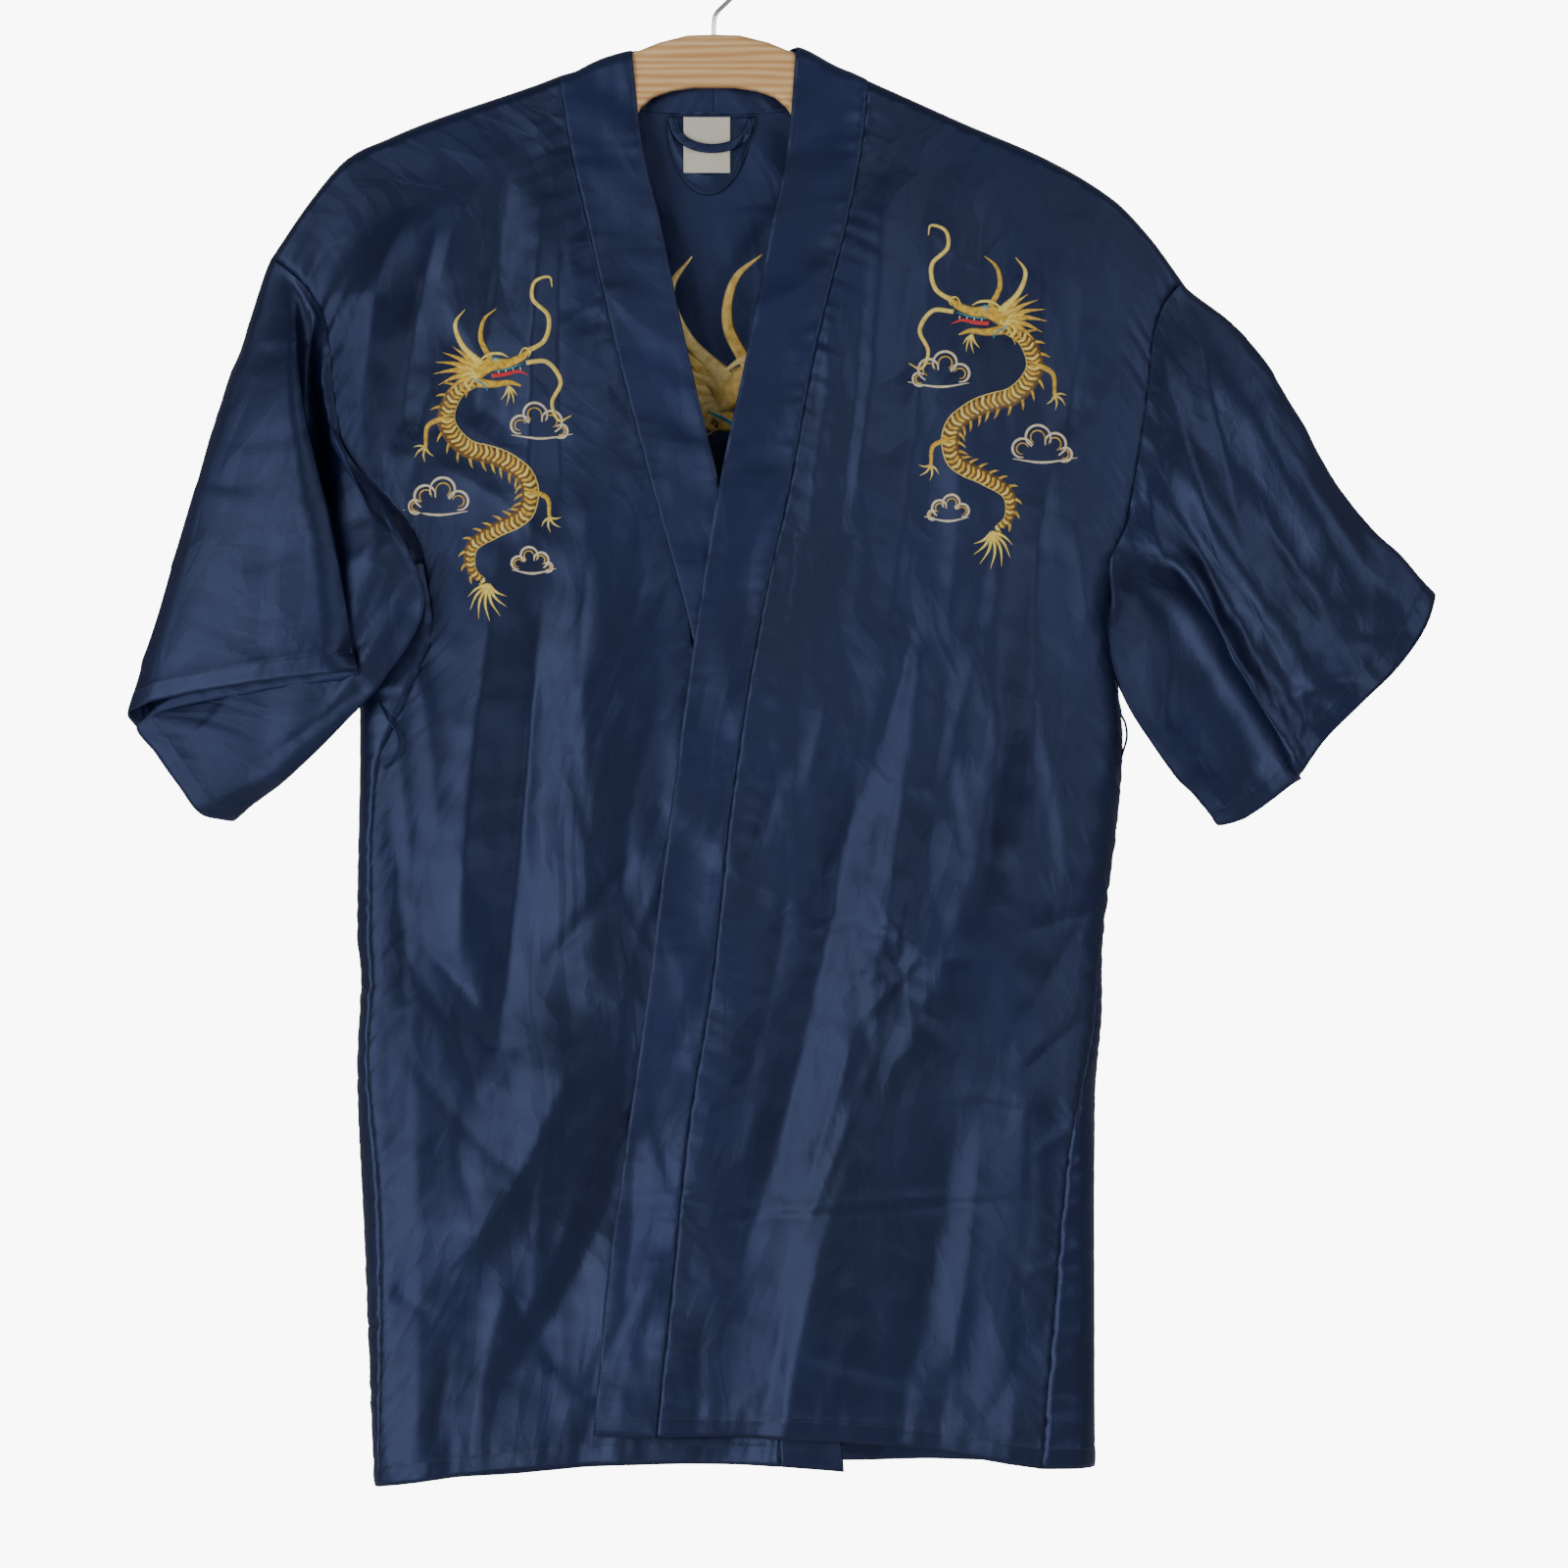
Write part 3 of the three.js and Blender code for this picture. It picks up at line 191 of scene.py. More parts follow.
# Short pinches and pressed creases: a line, how wide it is to each side, and its height.
PINCH_COLUMNS = "fromX fromDown toX toDown wide deep"
FRONT_PINCHES = table(
    PINCH_COLUMNS,
    (-130, 775, -58, 688, 5, -2.0), (-137, 516, -148, 711, 8, -2.4), (-96, 456, -103, 561, 6, -1.5),
    (-246, 561, -231, 711, 8, 1.8), (-223, 756, -171, 823, 6, -1.4), (-253, 936, -208, 898, 5, 1.1),
    (-66, 861, -126, 928, 6, 1.4), (-51, 1011, -96, 1101, 6, -1.3), (-193, 141, -246, 208, 9, -1.6),
    (-250, 760, -214, 742, 4, -1.1), (-252, 812, -214, 800, 4, 1.0), (-248, 1020, -212, 1046, 5, -1.1),
    (-180, 880, -150, 842, 5, 1.3), (-120, 1120, -70, 1090, 6, 1.1), (-200, 1060, -214, 1140, 6, -1.2),
    (-60, 760, -40, 700, 5, 1.2), (-88, 610, -62, 560, 6, 1.3), (-172, 540, -196, 590, 6, -1.4),
    (-212, 470, -226, 520, 7, 1.6), (-190, 300, -216, 372, 9, -1.4), (-166, 226, -182, 300, 8, 1.3),
    (106, 756, 174, 793, 4.5, -1.6), (114, 816, 166, 756, 4.5, 1.7), (133, 741, 148, 823, 4, -1.3),
    (99, 793, 133, 775, 4, 1.2), (150, 770, 196, 772, 4, 1.1), (152, 800, 186, 824, 4, -1.0),
    (-21, 966, 249, 947, 3.5, 0.9), (-21, 972, 249, 954, 3.5, -0.8), (-44, 735, 8, 732, 3, -1.4),
    (124, 842, 65, 988, 7, 2.6), (24, 711, 54, 621, 6, -1.5), (204, 516, 174, 636, 8, 1.5),
    (264, 351, 241, 516, 9, -1.5), (159, 501, 129, 606, 7, -1.6), (249, 561, 271, 711, 7, 1.5),
    (234, 861, 282, 816, 4, -1.2), (240, 922, 284, 892, 4, 1.2), (241, 748, 290, 733, 4, -1.2),
    (236, 1010, 282, 1000, 4, 1.0), (212, 640, 226, 700, 6, -1.3), (92, 560, 70, 640, 6, 1.4),
    (64, 430, 52, 520, 6, -1.3), (150, 240, 142, 330, 8, 1.2), (216, 180, 236, 250, 10, -1.5),
    (40, 860, 22, 930, 6, 1.2), (-4, 1040, -18, 1110, 6, -1.1), (100, 1060, 84, 1130, 7, 1.3),
    (180, 1080, 172, 1150, 8, -1.2), (130, 660, 122, 728, 6, 1.2), (276, 420, 288, 520, 7, 1.3),
)
BACK_PINCHES = table(
    PINCH_COLUMNS,
    (-190, 250, -150, 330, 8, 1.6), (176, 240, 140, 330, 8, -1.6), (-230, 480, -180, 560, 7, -1.5),
    (236, 470, 186, 556, 7, 1.5), (-60, 620, -30, 700, 6, 1.3), (64, 700, 20, 780, 6, -1.3),
    (-170, 820, -120, 880, 6, 1.3), (160, 860, 110, 930, 6, -1.3), (-230, 1000, 220, 980, 3.5, 0.8),
    (-230, 1006, 220, 987, 3.5, -0.8), (-20, 1020, -36, 1100, 6, 1.2), (90, 1040, 100, 1120, 6, -1.2),
    (-250, 700, -210, 690, 4, 1.1), (262, 760, 222, 748, 4, -1.1), (262, 900, 224, 916, 4, 1.1),
)
SLEEVE_PINCHES = table(
    PINCH_COLUMNS,
    (429, 572, 495, 553, 5, 2.2), (352, 462, 392, 506, 9, 2.4), (318, 470, 352, 520, 8, -2.4),
    (386, 528, 430, 574, 4, 1.2), (430, 574, 448, 627, 4, 1.0), (350, 560, 392, 620, 6, -1.6),
    (360, 540, 400, 590, 5, 1.3), (410, 420, 470, 500, 8, -1.3), (370, 330, 400, 420, 9, 1.3),
    (452, 400, 500, 470, 8, 1.2), (-224, 456, -300, 575, 8, -1.8), (-236, 500, -310, 600, 6, 1.5),
    (-262, 560, -350, 624, 5, -1.4), (-330, 330, -380, 520, 10, 1.2), (-350, 600, -430, 584, 5, 1.2),
    (-290, 330, -282, 430, 8, 1.0), (-320, 620, -380, 650, 6, 1.2), (-250, 470, -272, 520, 6, -1.3),
    (374, 470, 396, 514, 5, -2.4), (322, 528, 352, 600, 6, -2.0), (336, 540, 366, 606, 5, 1.8),
    (352, 556, 384, 618, 5, -1.6),
    (330, 400, 350, 500, 8, 1.8), (342, 306, 390, 473, 9, 2.4), (374, 300, 410, 470, 12, -2.8),
    (420, 330, 493, 500, 16, 2.4), (456, 366, 522, 484, 13, -2.0), (396, 480, 448, 566, 11, -1.8),
    (-330, 420, -366, 560, 12, -1.2), (-390, 400, -420, 560, 12, 1.2),
    (-244, 420, -282, 440, 7, -1.4), (-236, 448, -290, 474, 7, 1.5), (-280, 600, -330, 640, 7, -1.4),
)

SLEEVE_COLUMNS = "root ux uy ud lx ly ld cx cy cd"
RIGHT_SLEEVE = table(
    SLEEVE_COLUMNS,
    (0, 411, -2, 294, 484, -3, 411, 555, -3, 490), (0.2, 398, -15, 326, 465, -18, 434, 547, -14, 514),
    (0.38, 392, -14, 376, 450, -15, 468, 525, -17, 546), (0.56, 373, -25, 418, 430, -27, 508, 494, -22, 576),
    (0.72, 366, -17, 450, 416, -18, 536, 466, -17, 605), (0.86, 362, -28, 478, 406, -28, 555, 450, -23, 628),
    (0.905, 363, -20, 483, 408, -19, 559, 452, -16, 631), (0.93, 354, -5, 489, 399, -5, 564, 446, -7, 635),
    (0.955, 342, 1, 499, 383, 0, 577, 431, -3, 647), (0.985, 322, -3, 520, 356, -4, 594, 408, 0, 663),
    (-0.97, 304, -9, 543, 338, -2, 607, 388, 6, 668), (-0.82, 338, 16, 505, 370, 19, 590, 412, 15, 652),
    (-0.6, 356, 25, 446, 406, 24, 540, 456, 18, 612), (-0.4, 386, 18, 385, 443, 18, 470, 506, 14, 564),
    (-0.2, 399, 15, 324, 466, 15, 432, 546, 10, 516),
)
LEFT_SLEEVE = table(
    SLEEVE_COLUMNS,
    (0, -377, -8, 343, -412, -12, 460, -448, -14, 581), (0.05, -348, -25, 345, -352, -35, 462, -358, -38, 560),
    (0.1, -314, -33, 332, -289, -43, 440, -267, -44, 551), (0.115, -317, -24, 336, -294, -35, 444, -275, -39, 555),
    (0.18, -318, -6, 350, -330, -19, 470, -350, -32, 566),
    (0.3, -308, -4, 368, -346, -14, 500, -441, -23, 591), (0.48, -284, -24, 392, -314, -30, 530, -426, -27, 613),
    (0.66, -262, -36, 430, -298, -36, 558, -409, -27, 637), (0.82, -238, -37, 470, -284, -36, 580, -392, -22, 659),
    (0.93, -221, -37, 506, -288, -30, 597, -368, -9, 664), (0.99, -262, -30, 512, -312, -16, 586, -384, 0, 655),
    (-0.92, -298, -15, 488, -334, -2, 578, -394, 4, 648), (-0.8, -306, 10, 452, -344, 11, 558, -404, 6, 637),
    (-0.5, -326, 20, 404, -374, 18, 512, -424, 8, 614), (-0.2, -358, 14, 350, -402, 8, 470, -442, -2, 594),
)

NECK_PATCH = {"x": -4.0, "half": 33.0, "drop": 60.0, "off": 1.5}
LABEL = {"x": -5.5, "width": 36.0, "height": 43.0, "off": 2.75, "hang": 3.0}
LOOP = {"left": -35.0, "right": 32.0, "width": 7.0, "drop": 28.0, "off": 3.3, "hang": 5.4}


# Plain helpers on arrays.
def mix(a, b, t):
    return a + (b - a) * t


def ease(t):
    c = np.clip(t, 0.0, 1.0)
    return c * c * (3 - 2 * c)


def rolled(distance, radius):
    c = 1 - np.clip(distance / radius, 0.0, 1.0)
    return np.sqrt(1 - c * c)


def point(x, y, down):
    x, y, down = np.broadcast_arrays(x, y, down)
    return np.stack([x, y, -down], axis=-1).astype(float)


# A smooth value of one named column at a place in a table, by the key column.
def read(rows, key, place, column):
    keys, values = rows[key], rows[column]
    last = len(keys) - 1
    p = np.clip(place, keys[0], keys[-1])
    i = np.clip(np.searchsorted(keys, p, side="right") - 1, 0, last - 1)
    low, high = np.maximum(np.arange(last + 1) - 1, 0), np.minimum(np.arange(last + 1) + 1, last)
    slopes = (values[high] - values[low]) / (keys[high] - keys[low])
    span = keys[i + 1] - keys[i]
    t = (p - keys[i]) / span
    t2, t3 = t * t, t ** 3
    return (
        (2 * t3 - 3 * t2 + 1) * values[i]
        + (t3 - 2 * t2 + t) * span * slopes[i]
        + (3 * t2 - 2 * t3) * values[i + 1]
        + (t3 - t2) * span * slopes[i + 1]
    )


def shoulder_down(x):
    return read(SHOULDER_LINE, "x", x, "down")


def edge_x(side, down):
    return read(side.edge, "down", down, "x")


def seam_inset(side, down, panel):
    below = np.maximum(0, read(side.seam, "down", down, "inset"))
    above = np.maximum(0, read(side.arm, "down", down, panel))
    return np.where(down > side.underarm, below, above)


# One dictionary of named values for each row of a table.
def each_row(rows):
    return [dict(zip(rows, values)) for values in zip(*rows.values())]


def fold_height(folds, x, down, softness):
    height = np.zeros(np.broadcast(x, down).shape)
    for f in each_row(folds):
        whole = (down - f["headDown"]) / (f["footDown"] - f["headDown"])
        half = (f["midDown"] - f["headDown"]) / (f["footDown"] - f["headDown"])
        bend = f["midX"] - mix(f["headX"], f["footX"], half)
        off = x - (mix(f["headX"], f["footX"], whole) + bend * np.sin(np.pi * whole))
        flank = np.where(off < 0, f["flankL"], f["flankR"])
        tail = 1.0 if f["footDown"] > 1150 else ease((1 - whole) / 0.25)
        fade = np.minimum(ease(whole / 0.3), tail) * ((whole > 0) & (whole < 1))
        height += f["deep"] * fade * np.exp(-(np.abs(off / flank) ** softness))
    return height


def pinch_height(rows, x, down):
    height = 0.0
    for p in each_row(rows):
        run_x, run_down = p["toX"] - p["fromX"], p["toDown"] - p["fromDown"]
        along = (x - p["fromX"]) * run_x + (down - p["fromDown"]) * run_down
        along = np.clip(along / (run_x ** 2 + run_down ** 2), 0, 1)
        away = np.hypot(x - p["fromX"] - along * run_x, down - p["fromDown"] - along * run_down)
        height = height + p["deep"] * np.sin(np.pi * along) ** 0.7 * np.exp(-((away / p["wide"]) ** 1.3))
    return height


# Slack in the cloth: long shallow waves at fixed slants that never repeat.
def slack(x, down, seed):
    rng = np.random.default_rng(seed)
    height = 0.0
    for k in range(14):
        length = 26 * 1.22 ** (k % 7) * rng.uniform(0.85, 1.15)
        slant = rng.normal(0, 0.5)
        phase = rng.uniform(0, 2 * np.pi)
        drift = 9 * np.sin(down / rng.uniform(60, 140) + rng.uniform(0, 6))
        swell = 0.5 + 0.5 * np.sin(x / rng.uniform(50, 120) + down / rng.uniform(70, 160) + rng.uniform(0, 6))
        along = (x + drift) * np.cos(slant) + down * np.sin(slant)
        height = height + 0.11 * (length / 40) * swell * np.sin(2 * np.pi * along / length + phase)
    return height


# Crushed satin: short bent edges, each with one steep and one broad flank, so that the cloth
# falls in small planes. Most run down the cloth, a few across it.
def crushed(x, down, seed, count=84):
    rng = np.random.default_rng(seed + 40)
    height = 0.0
    for k in range(count):
        at_x, at_down = rng.uniform(-260, 290), rng.uniform(170, 1160)
        slant = rng.normal(0.12, 0.42) if k % 4 else rng.normal(1.3, 0.25)
        length = rng.uniform(26, 100)
        steep, broad = rng.uniform(3, 7), rng.uniform(14, 46)
        bow, tall = rng.uniform(-14, 14), rng.uniform(0.018, 0.062) * broad * rng.choice((-1, 1))
        along = ((x - at_x) * np.sin(slant) + (down - at_down) * np.cos(slant)) / length
        across = (x - at_x) * np.cos(slant) - (down - at_down) * np.sin(slant) + bow * along ** 2
        flank = np.where(across < 0, steep, broad)
        height = height + tall * np.exp(-(along ** 4)) * np.exp(-(np.abs(across) / flank) ** 1.25)
    return height


def side_share(x, down):
    left = x < 0
    inwards = np.where(left, x - edge_x(LEFT, down), edge_x(RIGHT, down) - x)
    shoulder = np.where(left, LEFT.shoulder, RIGHT.shoulder)
    underarm = np.where(left, LEFT.underarm, RIGHT.underarm)
    t = np.clip((down - shoulder) / (underarm - shoulder), 0, 1)
    at_edge = np.cbrt(np.maximum(0, np.sin(np.pi * t)))
    return at_edge + (1 - at_edge) * rolled(np.maximum(0, inwards), SIDE_ROLL)


# How sharp a fold's and a crease's ridge is (2 is round), and how strong the fine relief is.
FOLD_ROUND = 1.3
CREASE_ROUND = 1.2
CREASE_STRENGTH = 1.5
SLACK_STRENGTH = 1.8


def cloth_y(sign, full_depth, folds, creases, pinches, seed, x, down):
    below = np.maximum(0, down - shoulder_down(x))
    hung = mix(ARM_DEPTH, full_depth, ease(below / FILL_OUT_OVER))
    calm = ease((below - 15) / 110)
    fine = CREASE_STRENGTH * (fold_height(creases, x, down, CREASE_ROUND) + pinch_height(pinches, x, down))
    fine = fine + SLACK_STRENGTH * slack(x, down, seed) + crushed(x, down, seed)
    folded = (fold_height(folds, x, down, FOLD_ROUND) + fine) * calm
    return sign * (hung * rolled(below, SHOULDER_ROLL) + folded) * side_share(x, down)


def over_y(x, down):
    return cloth_y(-1, OVER_FRONT_DEPTH, FRONT_FOLDS, FRONT_CREASES, FRONT_PINCHES, 3, x, down)


def under_y(x, down):
    return cloth_y(-1, UNDER_FRONT_DEPTH, FRONT_FOLDS, FRONT_CREASES, FRONT_PINCHES, 3, x, down)


def back_y(x, down):
    return cloth_y(1, BACK_DEPTH, BACK_FOLDS, BACK_CREASES, BACK_PINCHES, 11, x, down)


# Round the side fold: cloth walked from its outermost line against distance inwards from it.
QUARTER_TURN = SIDE_ROLL * np.pi / 2


def inwards_after(walked):
    far = np.abs(walked)
    round_part = SIDE_ROLL * (1 - np.cos(far / SIDE_ROLL))
    return np.where(far < QUARTER_TURN, round_part, SIDE_ROLL + far - QUARTER_TURN)


def walked_to(inwards):
    near = SIDE_ROLL * np.arccos(np.clip(1 - inwards / SIDE_ROLL, -1, 1))
    return np.where(inwards < SIDE_ROLL, near, QUARTER_TURN + inwards - SIDE_ROLL)


def below_arm(side, side_down):
    return ease((side_down - side.underarm + 50) / 50)


def top_fade(side, side_down):
    return (1 - (side_down - side.shoulder) / (side.hem - side.shoulder)) ** 6


# The body's rows, as heights on its side: share 0 at the shoulder, 1 at the hem.
ARM_SHARE = 0.45


def side_down_at(side, row):
    arm = np.clip(row / ARM_SHARE, 0, 1) ** 1.6
    hang = np.clip((row - ARM_SHARE) / (1 - ARM_SHARE), 0, 1)
    return mix(mix(side.shoulder, side.underarm, arm), side.hem, hang)


def row_share(row):
    return (side_down_at(LEFT, row) - LEFT.shoulder) / (LEFT.hem - LEFT.shoulder)


def front_panel(side, band, depth_at, hem_lift, u, row):
    side_down = side_down_at(side, row)
    share = (side_down - side.shoulder) / (side.hem - side.shoulder)
    inset = seam_inset(side, side_down, "front")
    outer = edge_x(side, side_down)
    seam_x = read(band, "sideDown", side_down, "seamX")
    seam_down = read(band, "sideDown", side_down, "seamDown")
    width = side.sign * (outer - seam_x)
    calm = mix(inset, width, u)
    round_side = inwards_after(mix(walked_to(inset), walked_to(width), u))
    x = outer - side.sign * mix(calm, round_side, below_arm(side, side_down))
    top_x = mix(edge_x(side, side.shoulder), band["seamX"][0], u)
    straight_top = mix(side.shoulder, band["seamDown"][0], u)
    lift = (shoulder_down(top_x) - straight_top) * top_fade(side, side_down)
    hem = hem_lift * np.sin(np.pi * u) * share ** 8
    down = mix(side_down, seam_down, u) + lift - hem
    return point(x, depth_at(x, down), down)


def neck_seam_down(x):
    share = np.clip(np.abs(x) / NECK_SEAM_HALF, 0, 1)
    return mix(NECK_SEAM_DOWN, shoulder_down(np.sign(x) * NECK_SEAM_HALF), share ** 3)


def back_top_down(x):
    return np.where(np.abs(x) < NECK_SEAM_HALF, neck_seam_down(x), shoulder_down(x))


def top_half_width(side):
    return abs(edge_x(side, side.shoulder)) - SIDE_ROLL


# The back panel: u from the left seam round the side, over the back and round to the right
# seam. The first and last tenth of u are the wraps.
WRAP = 0.1


def back_panel(u, row):
    u, row = np.broadcast_arrays(u, row)
    left_down, right_down = side_down_at(LEFT, row), side_down_at(RIGHT, row)
    left_in, right_in = edge_x(LEFT, left_down) + SIDE_ROLL, edge_x(RIGHT, right_down) - SIDE_ROLL
    share = np.clip((u - WRAP) / (1 - 2 * WRAP), 0, 1)
    top = mix(-top_half_width(LEFT), top_half_width(RIGHT), share)
    x = mix(left_in, right_in, share)
    hem = mix(LEFT.hem, RIGHT.hem, share) - BACK_HEM_LIFT * np.sin(np.pi * share)
    down = mix(back_top_down(top), hem, row_share(row))
    flat = point(x, back_y(x, down), down)
    for side, depth_at, from_end in ((LEFT, under_y, u), (RIGHT, over_y, 1 - u)):
        side_down = side_down_at(side, row)
        inset = seam_inset(side, side_down, "back")
        open_share = below_arm(side, side_down)
        to_middle = np.clip(from_end / WRAP, 0, 1)
        walked = mix(-walked_to(inset), QUARTER_TURN, to_middle)
        outer = edge_x(side, side_down)
        flat_top = back_top_down(np.array(side.sign * top_half_width(side)))
        lifted = mix(flat_top, side.hem, row_share(row))
        wrap_down = side_down + (lifted - side_down) * to_middle
        calm_x = outer - side.sign * SIDE_ROLL * to_middle
        round_x = outer - side.sign * inwards_after(walked)
        round_y = np.where(walked < 0, depth_at(round_x, wrap_down), back_y(round_x, wrap_down))
        wrap_x = mix(calm_x, round_x, open_share)
        wrap_y = mix(back_y(calm_x, wrap_down), round_y, open_share)
        wrapped = point(wrap_x, wrap_y, wrap_down)
        flat = np.where((from_end < WRAP)[..., None], wrapped, flat)
    return flat


# A band: u from its seam to its free edge, row 0 at the hem, 1 at the shoulder and 2 at the
# middle of the back.
def neck_band(side, band, depth_at, u, row):
    u, row = np.broadcast_arrays(u, row)
    side_down = side_down_at(side, np.clip(1 - row, 0, 1))

    def over(seam, edge):
        return mix(read(band, "sideDown", side_down, seam), read(band, "sideDown", side_down, edge), u)

    x, level = over("seamX", "edgeX"), over("seamDown", "edgeDown")
    seam_top, edge_top = band["seamX"][0], band["edgeX"][0]
    top_line = shoulder_down(mix(seam_top, edge_top, u))
    crown = top_line - mix(band["seamDown"][0], band["edgeDown"][0], u)
    down = level + crown * top_fade(side, side_down)
    front = point(x, depth_at(x, down), down)
    round_share = np.clip(row - 1, 0, 1)
    inwards = 1 - round_share ** 1.7
    seam_x = side.sign * NECK_SEAM_HALF * inwards
    free_x = side.sign * BAND_TOP_HALF * inwards
    seam_down = neck_seam_down(seam_x)
    edge_line = shoulder_down(np.array(side.sign * BAND_TOP_HALF))
    free_down = mix(edge_line, BAND_TOP_DOWN, ease(round_share * 3))
    crown = top_line - mix(shoulder_down(seam_top), shoulder_down(edge_top), u)
    y = mix(back_y(seam_x, seam_down), BAND_TOP_DEPTH * rolled(round_share, 0.3), u)
    turned_down = mix(seam_down, free_down, u) + crown * (1 - ease(round_share * 3))
    turned = point(mix(seam_x, free_x, u), y, turned_down)
    return np.where((row > 1)[..., None], turned, front)


# A smooth line or ring through rows of points, read at a place along it.
def spline(points, place, closed):
    points = np.asarray(points)
    count = len(points)
    spans = count if closed else count - 1
    s = np.clip(place, 0, 1) * spans
    i = np.minimum(np.floor(s).astype(int), spans - 1)
    deep = s.shape + (1,) * (points.ndim - 1)
    t = (s - i).reshape(deep)

    def get(k):
        if closed:
            return points[k % count]
        inside = points[np.clip(k, 0, count - 1)]
        before, after = 2 * points[0] - points[1], 2 * points[-1] - points[-2]
        low, high = (k < 0).reshape(deep), (k > count - 1).reshape(deep)
        return np.where(low, before, np.where(high, after, inside))

    p0, p1, p2, p3 = get(i - 1), get(i), get(i + 1), get(i + 2)
    knots = [0 * p0[..., :1]]
    for a, b in ((p0, p1), (p1, p2), (p2, p3)):
        step = np.sqrt(np.maximum(np.linalg.norm(b - a, axis=-1, keepdims=True), 1e-6))
        knots.append(knots[-1] + step)
    t0, t1, t2, t3 = knots
    t = mix(t1, t2, t)
    a1 = (t1 - t) / (t1 - t0) * p0 + (t - t0) / (t1 - t0) * p1
    a2 = (t2 - t) / (t2 - t1) * p1 + (t - t1) / (t2 - t1) * p2
    a3 = (t3 - t) / (t3 - t2) * p2 + (t - t2) / (t3 - t2) * p3
    b1 = (t2 - t) / (t2 - t0) * a1 + (t - t0) / (t2 - t0) * a2
    b2 = (t3 - t) / (t3 - t1) * a2 + (t - t1) / (t3 - t1) * a3
    return (t2 - t) / (t2 - t1) * b1 + (t - t1) / (t2 - t1) * b2


# A sleeve: around runs from the shoulder down the front of the armhole and up its back, v from
# the armhole to the cuff.
def sleeve_tube(side, front_edge, back_edge, lines, around, v):
    root_share = 1 - np.abs(1 - around * 2)
    row = ARM_SHARE * root_share ** (1 / 1.6)
    turn = around * 2
    keys = np.where(lines["root"] < 0, 2 + lines["root"], lines["root"])
    count = len(keys)
    i = np.clip(np.searchsorted(keys, turn, side="right") - 1, 0, count - 1)
    after = np.append(keys[1:], 2.0)
    place = (i + (turn - keys[i]) / (after[i] - keys[i])) / count
    root = np.where((around <= 0.5)[:, None], front_edge(row), back_edge(row))
    under_arm = np.clip(1.4 - np.abs(turn - 1) / 0.3, 0, 1)
    forward = root[:, 1] * 0.08 - side.swing * under_arm
    if side is LEFT:
        forward = forward + 7 * np.clip(1 - np.abs(turn - 0.2) / 0.16, 0, 1)
    near_top = np.clip(1 - np.minimum(turn, 2 - turn) / 0.12, 0, 1)
    near_under = np.clip(1.3 - np.abs(turn - 1) / 0.16, 0, 1) * (side is RIGHT)
    out = mix(6.0, 2.5 if side is LEFT else 4.5, near_top) - 15 * near_under
    start = root + point(side.sign * out, forward - 7 * near_under, 2 + 4 * near_top + 9 * near_under)
    give = side.swing * 0.032 * np.clip(1.8 - np.abs(turn - 1.08) / 0.06, 0, 1.4)
    root = mix(root, start, give[:, None])
    rings = []
    for name in ("u", "l", "c"):
        ring = point(lines[name + "x"], lines[name + "y"], lines[name + "d"])
        rings.append(spline(ring, place % 1.0, True))
    return spline(np.stack([root, start] + rings), v, False)


# Distance along a grid from its first and last row or column, in millimetres.
def run(grid, axis):
    step = np.linalg.norm(np.diff(grid, axis=axis), axis=-1)
    pad = [(0, 0), (0, 0)]
    pad[axis] = (1, 0)
    along = np.cumsum(np.pad(step, pad), axis=axis)
    total = np.take(along, [-1], axis=axis)
    return along, total - along


def outward(grid, closed):
    if closed:
        around = np.roll(grid, -1, axis=1) - np.roll(grid, 1, axis=1)
    else:
        around = np.gradient(grid, axis=1)
    normal = np.cross(around, np.gradient(grid, axis=0))
    return normal / np.maximum(np.linalg.norm(normal, axis=-1, keepdims=True), 1e-9)


# Cloth is puckered where a seam or a stitched hem takes it in: short uneven ridges across the
# line, strongest beside it.
def pucker(along, away, height, reach, seed):
    rng = np.random.default_rng(seed)
    wave = 0.0
    for length in (13.0, 17.5, 24.0):
        drift = 4 * np.sin(along / rng.uniform(30, 60) + rng.uniform(0, 6))
        swell = 0.6 + 0.4 * np.sin(along / rng.uniform(20, 70) + rng.uniform(0, 6))
        wave = wave + swell * np.sin(2 * np.pi * (along + drift) / length + rng.uniform(0, 6))
    return height * wave / 2 * np.exp(-away / reach) * ease(away / 4)


def groove(away, width, deep):
    return -deep * np.exp(-((away / width) ** 2))


def quads(a, b, c, d):
    return np.stack([a, b, c, d], axis=-1).reshape(-1, 4)


def add_object(name, data):
    thing = bpy.data.objects.new(name, data)
    bpy.context.scene.collection.objects.link(thing)
    return thing


